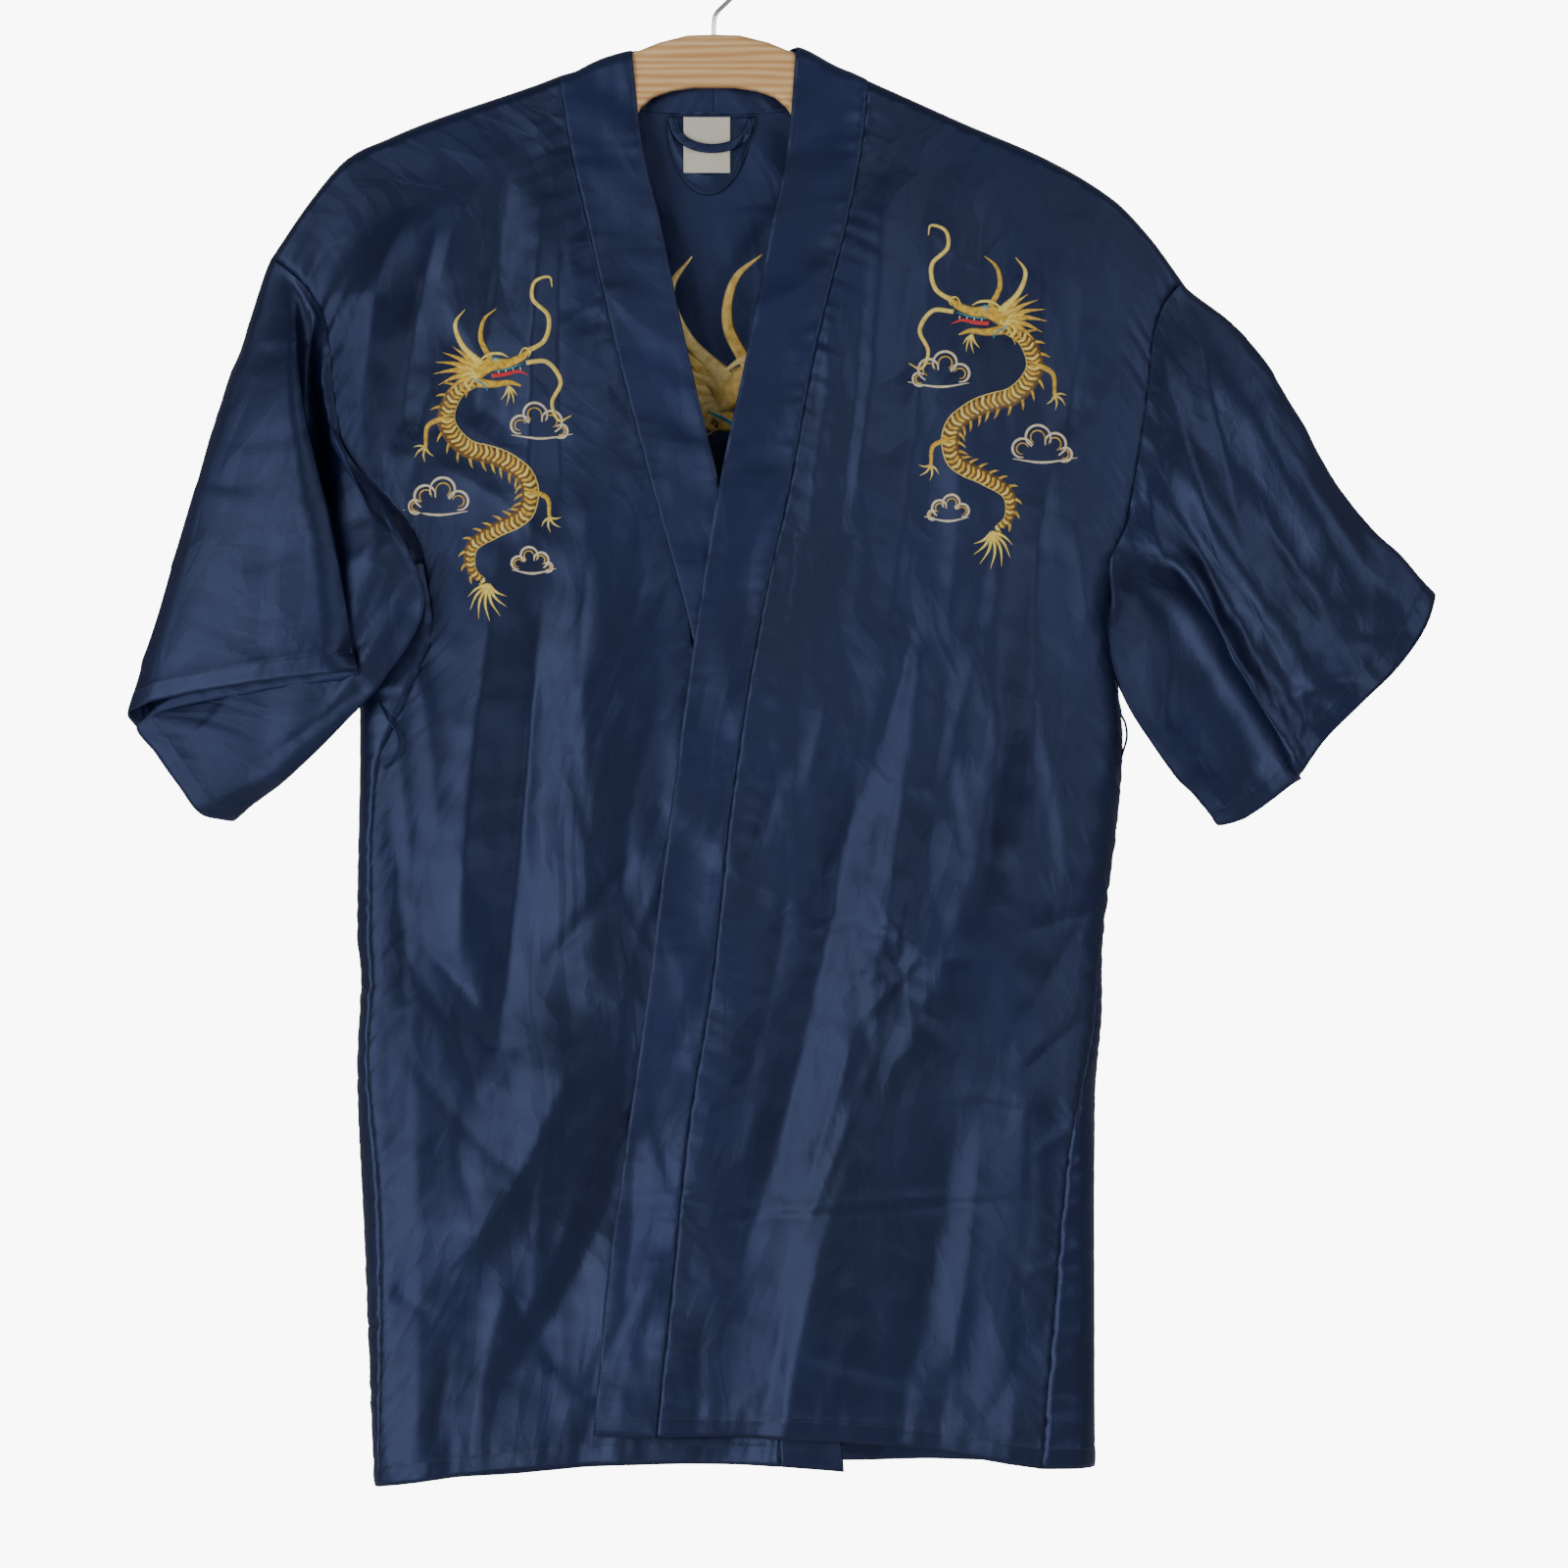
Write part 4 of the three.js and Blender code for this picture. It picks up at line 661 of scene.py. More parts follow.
# A thin closed wall on a grid of middle points, with its own UV map in metres. Open edges are
# rounded, sewn ones keep the whole wall.
class Cloth:
    def __init__(self, name, grid, wall, facing, closed=False, sewn=(), relief=None):
        self.name, self.closed = name, closed
        normal = outward(grid, closed)
        self.turned = np.sum(normal * facing(grid)) < 0
        if self.turned:
            normal = -normal
        low, high = run(grid, 1)
        start, end = run(grid, 0)
        self.low, self.high, self.start, self.end = low, high, start, end
        if relief is not None:
            height = relief(self, grid)
            grid = grid + normal * height[..., None]
            normal = outward(grid, closed) * (-1 if self.turned else 1)
        self.grid, self.normal = grid, normal
        rim = np.full(grid.shape[:2], 9e9)
        for edge, away in (("low", low), ("high", high), ("start", start), ("end", end)):
            if edge not in sewn and not (closed and edge in ("low", "high")):
                rim = np.minimum(rim, away)
        half = wall(self) / 2 * (0.35 + 0.65 * rolled(rim, 1.6))
        across_hem = np.exp(-np.abs(end - HEM_DEEP) / 9) if "end" not in sewn else 0 * end
        along_seam = 0 * low if closed else np.exp(-low / 14) + np.exp(-high / 14)
        gathered = (1.0 if closed else 0.35) * np.exp(-start / 10) if "start" in sewn else 0
        self.masks = {"seam_pucker": along_seam, "hem_pucker": across_hem + gathered}
        self.outer = grid + normal * half[..., None]
        self.inner = grid - normal * half[..., None]

    # The outer face, the inner face turned about, and the rims that close the wall.
    def mesh(self, material, inner_material=None):
        rows, columns = self.grid.shape[:2]
        layer = rows * columns
        vertices = np.concatenate([self.outer.reshape(-1, 3), self.inner.reshape(-1, 3)]) * MM
        spans = columns if self.closed else columns - 1
        r, c = np.meshgrid(np.arange(rows - 1), np.arange(spans), indexing="ij")
        a = r * columns + c
        b = r * columns + (c + 1) % columns
        outer = quads(a, b, b + columns, a + columns)
        inner = quads(a, a + columns, b + columns, b) + layer
        k = np.arange(spans)
        k2 = (k + 1) % columns
        last = (rows - 1) * columns
        rims = [
            quads(k, k + layer, k2 + layer, k2),
            quads(last + k, last + k2, last + k2 + layer, last + k + layer),
        ]
        if not self.closed:
            j = np.arange(rows - 1) * columns
            rims.append(quads(j, j + columns, j + columns + layer, j + layer))
            j = j + columns - 1
            rims.append(quads(j, j + layer, j + columns + layer, j + columns))
        faces = np.concatenate([outer, inner] + rims)
        if self.turned:
            faces = faces[:, ::-1]
        uv = np.stack([np.tile(away.reshape(-1), 2) * MM for away in (self.low, self.start)], axis=-1)
        which = np.zeros(len(faces), int)
        which[len(outer):] = 1 if inner_material else 0
        materials = [material] + ([inner_material] if inner_material else [])
        piece = make_mesh(self.name, vertices, faces, materials, uv, which)
        for label, mask in self.masks.items():
            values = np.tile(mask.reshape(-1), 2).astype(np.float32)
            piece.data.attributes.new(label, "FLOAT", "POINT").data.foreach_set("value", values)
        return piece


def make_mesh(name, vertices, faces, materials, uv, which):
    mesh = bpy.data.meshes.new(name)
    mesh.vertices.add(len(vertices))
    mesh.vertices.foreach_set("co", np.asarray(vertices, np.float32).ravel())
    sides = faces.shape[1]
    mesh.loops.add(len(faces) * sides)
    mesh.loops.foreach_set("vertex_index", faces.astype(np.int32).ravel())
    mesh.polygons.add(len(faces))
    mesh.polygons.foreach_set("loop_start", (np.arange(len(faces)) * sides).astype(np.int32))
    mesh.polygons.foreach_set("loop_total", np.full(len(faces), sides, np.int32))
    for material in materials:
        mesh.materials.append(material)
    mesh.polygons.foreach_set("material_index", which.astype(np.int32))
    mesh.polygons.foreach_set("use_smooth", np.full(len(faces), True))
    layer = mesh.uv_layers.new(name="cloth")
    layer.data.foreach_set("uv", uv[faces.ravel()].astype(np.float32).ravel())
    mesh.update(calc_edges=True)
    mesh.validate()
    return add_object(name, mesh)


def root_piece(thing, node):
    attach(thing, "root")
    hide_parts(node)
    return thing


# The camera stands straight in front, far back, and sees 1.2 m across.
CAMERA_AWAY = 4.0
SEEN_ACROSS = 1.2
FRONT_AT = -0.02
SENSOR_WIDE = 36.0
cam_data = bpy.data.cameras.new("front_camera")
cam_data.sensor_width = SENSOR_WIDE
cam_data.lens = SENSOR_WIDE * (CAMERA_AWAY + FRONT_AT) / SEEN_ACROSS
cam_data.clip_end = 50.0
camera = add_object("front_camera", cam_data)
camera.location = (0.054, -CAMERA_AWAY, -0.636)
camera.rotation_euler = (math.pi / 2, 0, 0)
bpy.context.scene.camera = camera


# Materials. Nodes are named by their type and joined by socket name.
class Finish:
    def __init__(self, name):
        self.material = bpy.data.materials.new(name)
        self.material.use_nodes = True
        self.tree = self.material.node_tree
        self.shader = self.tree.nodes["Principled BSDF"]

    def node(self, kind, **settings):
        n = self.tree.nodes.new("ShaderNode" + kind)
        for key, value in settings.items():
            if hasattr(n, key):
                setattr(n, key, value)
            else:
                n.inputs[key.replace("_", " ")].default_value = value
        return n

    def link(self, output, socket):
        self.tree.links.new(output, socket)

    def join(self, a, out, b, into):
        self.link(a.outputs[out], b.inputs[into])

    def set(self, values):
        for socket, value in values.items():
            self.shader.inputs[socket].default_value = value

    def maths(self, operation, a, b):
        n = self.node("Math", operation=operation)
        for k, value in enumerate((a, b)):
            if isinstance(value, (int, float)):
                n.inputs[k].default_value = value
            else:
                self.link(value, n.inputs[k])
        return n.outputs[0]

    # A bump node over the sum of patterns, each with its height.
    def bump(self, strength, distance, *patterns):
        n = self.node("Bump", Strength=strength, Distance=distance)
        scaled = [self.maths("MULTIPLY", pattern, height) for pattern, height in patterns]
        total = scaled[0]
        for more in scaled[1:]:
            total = self.maths("ADD", total, more)
        self.link(total, n.inputs["Height"])
        return n

    def ramp(self, source, *stops):
        n = self.node("ValToRGB")
        elements = n.color_ramp.elements
        while len(elements) < len(stops):
            elements.new(0.5)
        for element, (place, colour) in zip(elements, stops):
            element.position = place
            element.color = (*colour, 1.0)
        self.link(source, n.inputs[0])
        return n.outputs[0]


def srgb(r, g, b):
    return tuple(((v / 255 + 0.055) / 1.055) ** 2.4 if v > 10 else v / 255 / 12.92 for v in (r, g, b))


# Satin: long floats of smooth yarn with a soft sheen. The cloth is faintly crumpled all over, in
# large and small planes, and drawn up into fine ridges beside its seams and hems. The heights
# below are in the bump's own unit, and a pattern's scale is in repeats a metre.
LARGE_PLANES = 3.6
SMALL_PLANES = 1.0
GATHERED = 3.0
NAVY_SHEEN = (*srgb(70, 95, 190), 1.0)
BLUE_GLOSS = (0.4, 0.52, 1.0, 1.0)
SATIN_GLOSS = {
    "Specular IOR Level": 0.78, "Specular Tint": BLUE_GLOSS, "Anisotropic": 0.35, "Sheen Weight": 0.12,
    "Sheen Roughness": 0.35, "Sheen Tint": NAVY_SHEEN,
}


def satin(name, shade, light, roughness, twill, crumple=1.0):
    f = Finish(name)
    s = f.shader
    place = f.node("UVMap", uv_map="cloth")
    patch = f.node("TexNoise", noise_dimensions="3D", Scale=9.0, Detail=3.0)
    f.join(place, "UV", patch, "Vector")
    mottled = f.ramp(patch.outputs["Fac"], (0.35, shade), (0.68, light))
    f.link(mottled, s.inputs["Base Color"])

    def spread(across, along):
        n = f.node("Mapping", vector_type="POINT")
        n.inputs["Scale"].default_value = (across, along, 1.0)
        f.join(place, "UV", n, "Vector")
        return n.outputs["Vector"]

    def pattern(kind, vector, output, **settings):
        n = f.node(kind, **settings)
        f.link(vector, n.inputs["Vector"])
        return n.outputs[output]

    def gathered(across, along, mask):
        ridges = pattern("TexNoise", spread(across, along), "Fac", Scale=1.0, Detail=1.0)
        return f.maths("MULTIPLY", ridges, f.node("Attribute", attribute_name=mask).outputs["Fac"])

    bent = f.node("VectorMath", operation="MULTIPLY_ADD")
    f.link(pattern("TexNoise", spread(6, 5), "Color", Scale=1.0, Detail=1.0), bent.inputs[0])
    bent.inputs[1].default_value = (1.2, 1.2, 0)
    f.link(spread(11, 6.5), bent.inputs[2])
    large = pattern("TexVoronoi", bent.outputs[0], "Distance", distance="CHEBYCHEV", Scale=1.0)
    small = pattern("TexVoronoi", bent.outputs[0], "Distance", distance="MANHATTAN", Scale=2.7)
    planes = f.bump(
        1.0, 0.001, (large, LARGE_PLANES * crumple), (small, SMALL_PLANES * crumple),
        (gathered(14, 58, "seam_pucker"), GATHERED), (gathered(58, 14, "hem_pucker"), GATHERED),
    )
    cloth_uv = place.outputs["UV"]
    weave = pattern(
        "TexWave", cloth_uv, "Fac", wave_type="BANDS", bands_direction="DIAGONAL", Scale=twill, Distortion=1.5
    )
    slub = pattern("TexNoise", cloth_uv, "Fac", Scale=420.0, Detail=2.0)
    wrinkle = pattern("TexNoise", cloth_uv, "Fac", Scale=38.0, Detail=4.0, Roughness=0.55)
    relief = f.bump(0.5, 0.0011, (weave, 0.05), (slub, 0.12), (wrinkle, 1.1))
    f.join(planes, "Normal", relief, "Normal")
    f.join(relief, "Normal", s, "Normal")
    f.link(f.maths("ADD", f.maths("MULTIPLY", slub, 0.1), roughness - 0.05), s.inputs["Roughness"])
    f.set(SATIN_GLOSS)
    return f.material


SATIN_TWILL = 900.0
NAVY = satin("navy_satin", srgb(8, 12, 33), srgb(13, 19, 49), 0.39, SATIN_TWILL)
# The wrong side is duller satin, and its colour is also lighter than the right side's as painted light, lifting
# the shade inside the neck and between the layers.
NAVY_WRONG_SIDE_PAINTED_LIGHT = satin("navy_satin_wrong_side_painted_light", srgb(15, 20, 46), srgb(22, 29, 62), 0.5, SATIN_TWILL)
# The bands' satin is the body's cloth with a lighter colour, a painted sheen for the brighter sheen on the bands;
# the neck patch and the hanging loop use it too.
BAND_NAVY_PAINTED_SHEEN = satin("navy_band_satin_painted_sheen", srgb(12, 17, 41), srgb(18, 25, 59), 0.44, SATIN_TWILL)


# The body's cloth.
def grid_of(surface, us, rows):
    return surface(us[None, :], rows[:, None])


def forwards(grid):
    return np.array([0.0, -1.0, 0.0])


def backwards(grid):
    return np.array([0.0, 1.0, 0.0])


def share(count):
    return np.linspace(0, 1, int(count * FINE) + 1)


def panel_relief(seed):
    def relief(cloth, grid):
        from_hem_line = cloth.end - HEM_DEEP
        height = pucker(cloth.start, cloth.low, 1.5, 18, seed)
        height = height + pucker(cloth.start, cloth.high, 1.2, 18, seed + 1)
        height = height + pucker(cloth.low, np.abs(from_hem_line), 0.9, 12, seed + 2)
        height = height + groove(cloth.low, 1.6, 0.2) + groove(cloth.high, 1.6, 0.35)
        height = height + groove(from_hem_line, 1.0, 0.35)
        return height * ease(cloth.start / 30)
    return relief


# One layer of satin, and two where the hem is turned up.
def single_wall(cloth):
    hem = 1 - ease((cloth.end - 13) / 3)
    return SINGLE_WALL + HEM_MORE * hem


def over_front(u, row):
    return front_panel(RIGHT, OVER_BAND, over_y, OVER_HEM_LIFT, u, row)


def under_front(u, row):
    return front_panel(LEFT, UNDER_BAND, under_y, UNDER_HEM_LIFT, u, row)


cloths = {}
for node, surface, columns, facing, seed in (
    ("front_left", over_front, FRONT_COLUMNS, forwards, 21),
    ("front_right", under_front, FRONT_COLUMNS, forwards, 31),
    ("back", back_panel, BACK_COLUMNS, backwards, 41),
):
    grid = grid_of(surface, share(columns), share(PANEL_ROWS))
    cloths[node] = Cloth(
        "satin_" + node, grid, single_wall, facing, sewn=("start", "low", "high"), relief=panel_relief(seed)
    )


def band_relief(seed):
    def relief(cloth, grid):
        rng = np.random.default_rng(seed + 5)
        height = pucker(cloth.start, cloth.low, 1.1, 12, seed) + pucker(cloth.start, cloth.high, 0.6, 8, seed + 1)
        for length in (52.0, 78.0, 121.0):
            slant = rng.uniform(-0.7, 0.7)
            wave = np.sin(2 * np.pi * (cloth.start + slant * cloth.low) / length + rng.uniform(0, 6))
            height = height + length / 80 * wave * ease(cloth.low / 18)
        height = height + groove(cloth.low, 1.6, 0.35) + groove(cloth.high - 3, 1.0, 0.12)
        return height * ease(cloth.start / 25)
    return relief


def even_wall(size):
    def wall(cloth):
        return size + 0 * cloth.low
    return wall


for node, side, band, depth_at, seed in (
    ("band_left", RIGHT, OVER_BAND, over_y, 51), ("band_right", LEFT, UNDER_BAND, under_y, 61),
):
    grid = neck_band(side, band, depth_at, share(BAND_COLUMNS)[None, :], (2 * share(BAND_ROWS))[:, None])
    cloths[node] = Cloth(
        "satin_" + node, grid, even_wall(BAND_WALL), forwards, sewn=("low", "end"), relief=band_relief(seed)
    )


def sleeve_cloth(name, side, front, back_end, lines, seed):
    def front_edge(row):
        return front(np.zeros_like(row), row)

    def back_edge(row):
        return back_panel(np.full_like(row, back_end), row)

    around = share(SLEEVE_AROUND)[:-1]
    grid = sleeve_tube(side, front_edge, back_edge, lines, around, share(SLEEVE_ROWS))
    middle = grid.mean(axis=1, keepdims=True)

    def relief(cloth, g):
        x, y, down = g[..., 0], g[..., 1], -g[..., 2]
        from_hem_line = cloth.end - HEM_DEEP
        height = pucker(cloth.low, cloth.start, 0.7, 14, seed) + groove(cloth.start, 1.4, 0.15)
        height = height + pucker(cloth.low, np.abs(from_hem_line), 0.4, 12, seed + 1)
        height = height + groove(from_hem_line, 1.0, 0.35)
        height = height + slack(x + y, down, seed) * 1.6
        height = height + crushed(1.6 * (x - side.sign * 400), 2.2 * (down - 200), seed, 60) * 0.8
        in_front = ease((middle[..., 1] - y) / 8 + 0.5)
        height = height + CREASE_STRENGTH * pinch_height(SLEEVE_PINCHES, x, down) * in_front
        return height * ease(cloth.start / 12)

    def away_from_middle(g):
        return g - middle

    return Cloth(name, grid, single_wall, away_from_middle, closed=True, sewn=("start",), relief=relief)


cloths["sleeve_left"] = sleeve_cloth("satin_sleeve_left", RIGHT, over_front, 1.0, RIGHT_SLEEVE, 71)
cloths["sleeve_right"] = sleeve_cloth("satin_sleeve_right", LEFT, under_front, 0.0, LEFT_SLEEVE, 81)

for node, cloth in cloths.items():
    outside = BAND_NAVY_PAINTED_SHEEN if node.startswith("band") else NAVY
    piece = cloth.mesh(outside, NAVY_WRONG_SIDE_PAINTED_LIGHT)
    root_piece(piece, node)


# The small pieces inside the neck, laid on the back panel.
def on_back(x, down, forward):
    return point(x, back_y(x, down) - forward, down)


def patch_surface(u, v):
    x = NECK_PATCH["x"] + NECK_PATCH["half"] * u
    top = neck_seam_down(x) + 2
    return on_back(x, top + v * NECK_PATCH["drop"] * np.sqrt(1 - u * u), NECK_PATCH["off"])


def label_surface(u, v):
    x = LABEL["x"] + u * LABEL["width"]
    stand = mix(LABEL["off"], LABEL["hang"], v) + 0.35 * np.sin(5 * u + 1) * v
    return on_back(x, neck_seam_down(x) + 2 + v * LABEL["height"], stand)


def loop_surface(u, v):
    turn = np.pi * v
    middle = (LOOP["left"] + LOOP["right"]) / 2
    half = (LOOP["right"] - LOOP["left"]) / 2 - LOOP["width"] * u
    x = middle - half * np.cos(turn)
    sag = (LOOP["drop"] - LOOP["width"] * u) * np.sin(turn) ** 0.8
    stand = mix(LOOP["off"], LOOP["hang"], np.sin(turn))
    return on_back(x, neck_seam_down(x) + 2 + sag, stand)


def edge_fold(height, width):
    def relief(cloth, grid):
        away = np.minimum(np.minimum(cloth.low, cloth.high), cloth.end)
        return height * (1 - ease((away - width) / 1.0)) + pucker(cloth.start + cloth.low, away, 0.12, 4, 5)
    return relief


# The loop is a folded strip, a little fuller along its middle.
def loop_relief(cloth, grid):
    full = 0.25 * np.sin(np.pi * np.clip(cloth.low / LOOP["width"], 0, 1))
    return full + pucker(cloth.start, cloth.low, 0.1, 3, 9)


label_finish = satin("label_weave", srgb(206, 204, 184), srgb(222, 220, 202), 0.62, 2200.0, 0.3)
for white in ("Sheen Tint", "Specular Tint"):
    label_finish.node_tree.nodes["Principled BSDF"].inputs[white].default_value = (1, 1, 1, 1)
for node, name, surface, us, rows, wall, relief, finish, slot in (
    ("neck_patch", "satin_neck_patch", patch_surface, np.linspace(-0.985, 0.985, 40), 36, 0.8,
     edge_fold(0.25, 3), BAND_NAVY_PAINTED_SHEEN, "satin"),
    ("label", "woven_label", label_surface, np.linspace(-0.5, 0.5, 28), 34, 0.6,
     edge_fold(0.15, 2.5), label_finish, "label_cloth"),
    ("hanging_loop", "satin_hanging_loop", loop_surface, share(8), 72, 1.9,
     loop_relief, BAND_NAVY_PAINTED_SHEEN, "band_satin"),
):
    cloths[node] = Cloth(name, grid_of(surface, us, share(rows)), even_wall(wall), forwards, relief=relief)
    root_piece(cloths[node].mesh(finish), node)


# Sewing: a line of small stitches laid on a cloth's outer face, at a distance from one edge.
STITCH_LIFT = 0.1


def sewn_line(cloth, edge, away, first=0.0):
    distance, face = getattr(cloth, edge), cloth.outer + cloth.normal * STITCH_LIFT
    if edge in ("low", "high"):
        distance, face = distance.T, face.transpose(1, 0, 2)
    if edge in ("high", "end"):
        distance, face = distance[::-1], face[::-1]
    count = distance.shape[1]
    picked = range(int(first * (count - 1)), count)
    return np.array([
        [np.interp(away, distance[:, k], face[:, k, axis]) for axis in range(3)] for k in picked
    ])


# The shortest and longest stitch, against the named length.
STITCH_UNEVEN = (0.82, 1.08)


def stitch_tree(material):
    tree = bpy.data.node_groups.new("row_of_stitches", "GeometryNodeTree")
    sockets = tree.interface
    sockets.new_socket("Geometry", in_out="INPUT", socket_type="NodeSocketGeometry")
    for label, size in (("Pitch", 0.0032), ("Length", 0.0025), ("Thread", 0.0005)):
        sockets.new_socket(label, in_out="INPUT", socket_type="NodeSocketFloat").default_value = size
    sockets.new_socket("Geometry", in_out="OUTPUT", socket_type="NodeSocketGeometry")

    def node(kind, **settings):
        n = tree.nodes.new(kind)
        for key, value in settings.items():
            if hasattr(n, key):
                setattr(n, key, value)
            else:
                n.inputs[key].default_value = value
        return n

    given = node("NodeGroupInput")
    made = node("NodeGroupOutput")
    curve = node("GeometryNodeMeshToCurve")
    spaced = node("GeometryNodeResampleCurve", mode="LENGTH")
    shape = node("GeometryNodeMeshUVSphere", Segments=6, Rings=4, Radius=0.5)
    sized = node("GeometryNodeTransform")
    sizes = node("ShaderNodeCombineXYZ")
    along = node("GeometryNodeInputTangent")
    turned = node("FunctionNodeAlignRotationToVector", axis="X")
    uneven = node("FunctionNodeRandomValue", data_type="FLOAT", Seed=4)
    uneven.inputs[2].default_value, uneven.inputs[3].default_value = STITCH_UNEVEN
    laid = node("GeometryNodeInstanceOnPoints")
    real = node("GeometryNodeRealizeInstances")
    coloured = node("GeometryNodeSetMaterial", Material=material)
    for source, output, target, socket in (
        (given, "Geometry", curve, "Mesh"), (curve, "Curve", spaced, "Curve"),
        (given, "Pitch", spaced, "Length"), (shape, "Mesh", sized, "Geometry"),
        (given, "Length", sizes, "X"), (given, "Thread", sizes, "Y"), (given, "Thread", sizes, "Z"),
        (sizes, "Vector", sized, "Scale"), (along, "Tangent", turned, "Vector"),
        (spaced, "Curve", laid, "Points"), (sized, "Geometry", laid, "Instance"),
        (turned, "Rotation", laid, "Rotation"), (uneven, 1, laid, "Scale"),
        (laid, "Instances", real, "Geometry"), (real, "Geometry", coloured, "Geometry"),
        (coloured, "Geometry", made, "Geometry"),
    ):
        tree.links.new(source.outputs[output], target.inputs[socket])
    return tree


def sew_lines(name, lines, tree, **sizes):
    points = np.concatenate(lines) * MM
    edges, first = [], 0
    for line in lines:
        edges += [(first + k, first + k + 1) for k in range(len(line) - 1)]
        first += len(line)
    mesh = bpy.data.meshes.new(name + "_lines")
    mesh.from_pydata([tuple(p) for p in points], edges, [])
    lines_object = add_object(name + "_lines", mesh)
    modifier = lines_object.modifiers.new("stitches", "NODES")
    modifier.node_group = tree
    for item in tree.interface.items_tree:
        if item.in_out == "INPUT" and item.name in sizes:
            modifier[item.identifier] = sizes[item.name]
    graph = bpy.context.evaluated_depsgraph_get()
    stitched = bpy.data.meshes.new_from_object(lines_object.evaluated_get(graph))
    lines_object.modifiers.remove(modifier)
    bpy.data.objects.remove(lines_object)
    stitched.name = name
    stitched.polygons.foreach_set("use_smooth", np.full(len(stitched.polygons), True))
    return add_object(name, stitched)


def stitch_finish():
    f = Finish("navy_sewing_thread")
    place = f.node("TexCoord")
    tone = f.node("TexNoise", Scale=500.0, Detail=2.0)
    f.join(place, "Object", tone, "Vector")
    navy_thread = f.ramp(tone.outputs["Fac"], (0.3, srgb(7, 10, 28)), (0.7, srgb(20, 27, 58)))
    f.link(navy_thread, f.shader.inputs["Base Color"])
    f.set({"Roughness": 0.45, "Sheen Weight": 0.3})
    return f.material


# Each line of stitches: its cloth's edge, how far it runs from it, and where along it it starts.
FRONT_LINES = (("end", HEM_DEEP, 0.0), ("low", 1.6, 0.55))
BACK_LINES = (("end", HEM_DEEP, 0.0),)
BAND_LINES = (("low", 1.7, 0.0), ("high", 2.2, 0.0), ("start", HEM_DEEP, 0.0))
SLEEVE_LINES = (("end", HEM_DEEP, 0.0), ("start", 1.8, 0.0))
seam_tree = stitch_tree(stitch_finish())
for name, sewn in (
    ("stitches_body", (("front_left", FRONT_LINES), ("front_right", FRONT_LINES), ("back", BACK_LINES))),
    ("stitches_bands", (("band_left", BAND_LINES), ("band_right", BAND_LINES))),
    ("stitches_sleeves", (("sleeve_left", SLEEVE_LINES), ("sleeve_right", SLEEVE_LINES))),
):
    lines = [sewn_line(cloths[node], *row) for node, rows in sewn for row in rows]
    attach(sew_lines(name, lines, seam_tree, Pitch=0.0033, Length=0.0025, Thread=0.00052), "root")


# Distance walked along a line, and its direction and the one across it on flat cloth.
def walked_along(line):
    return np.concatenate([[0], np.cumsum(np.linalg.norm(np.diff(line, axis=0), axis=1))])


def directions(line):
    heading = np.gradient(line, axis=0)
    heading /= np.maximum(np.linalg.norm(heading, axis=1, keepdims=True), 1e-9)
    return heading, np.stack([-heading[:, 1], heading[:, 0]], axis=1)


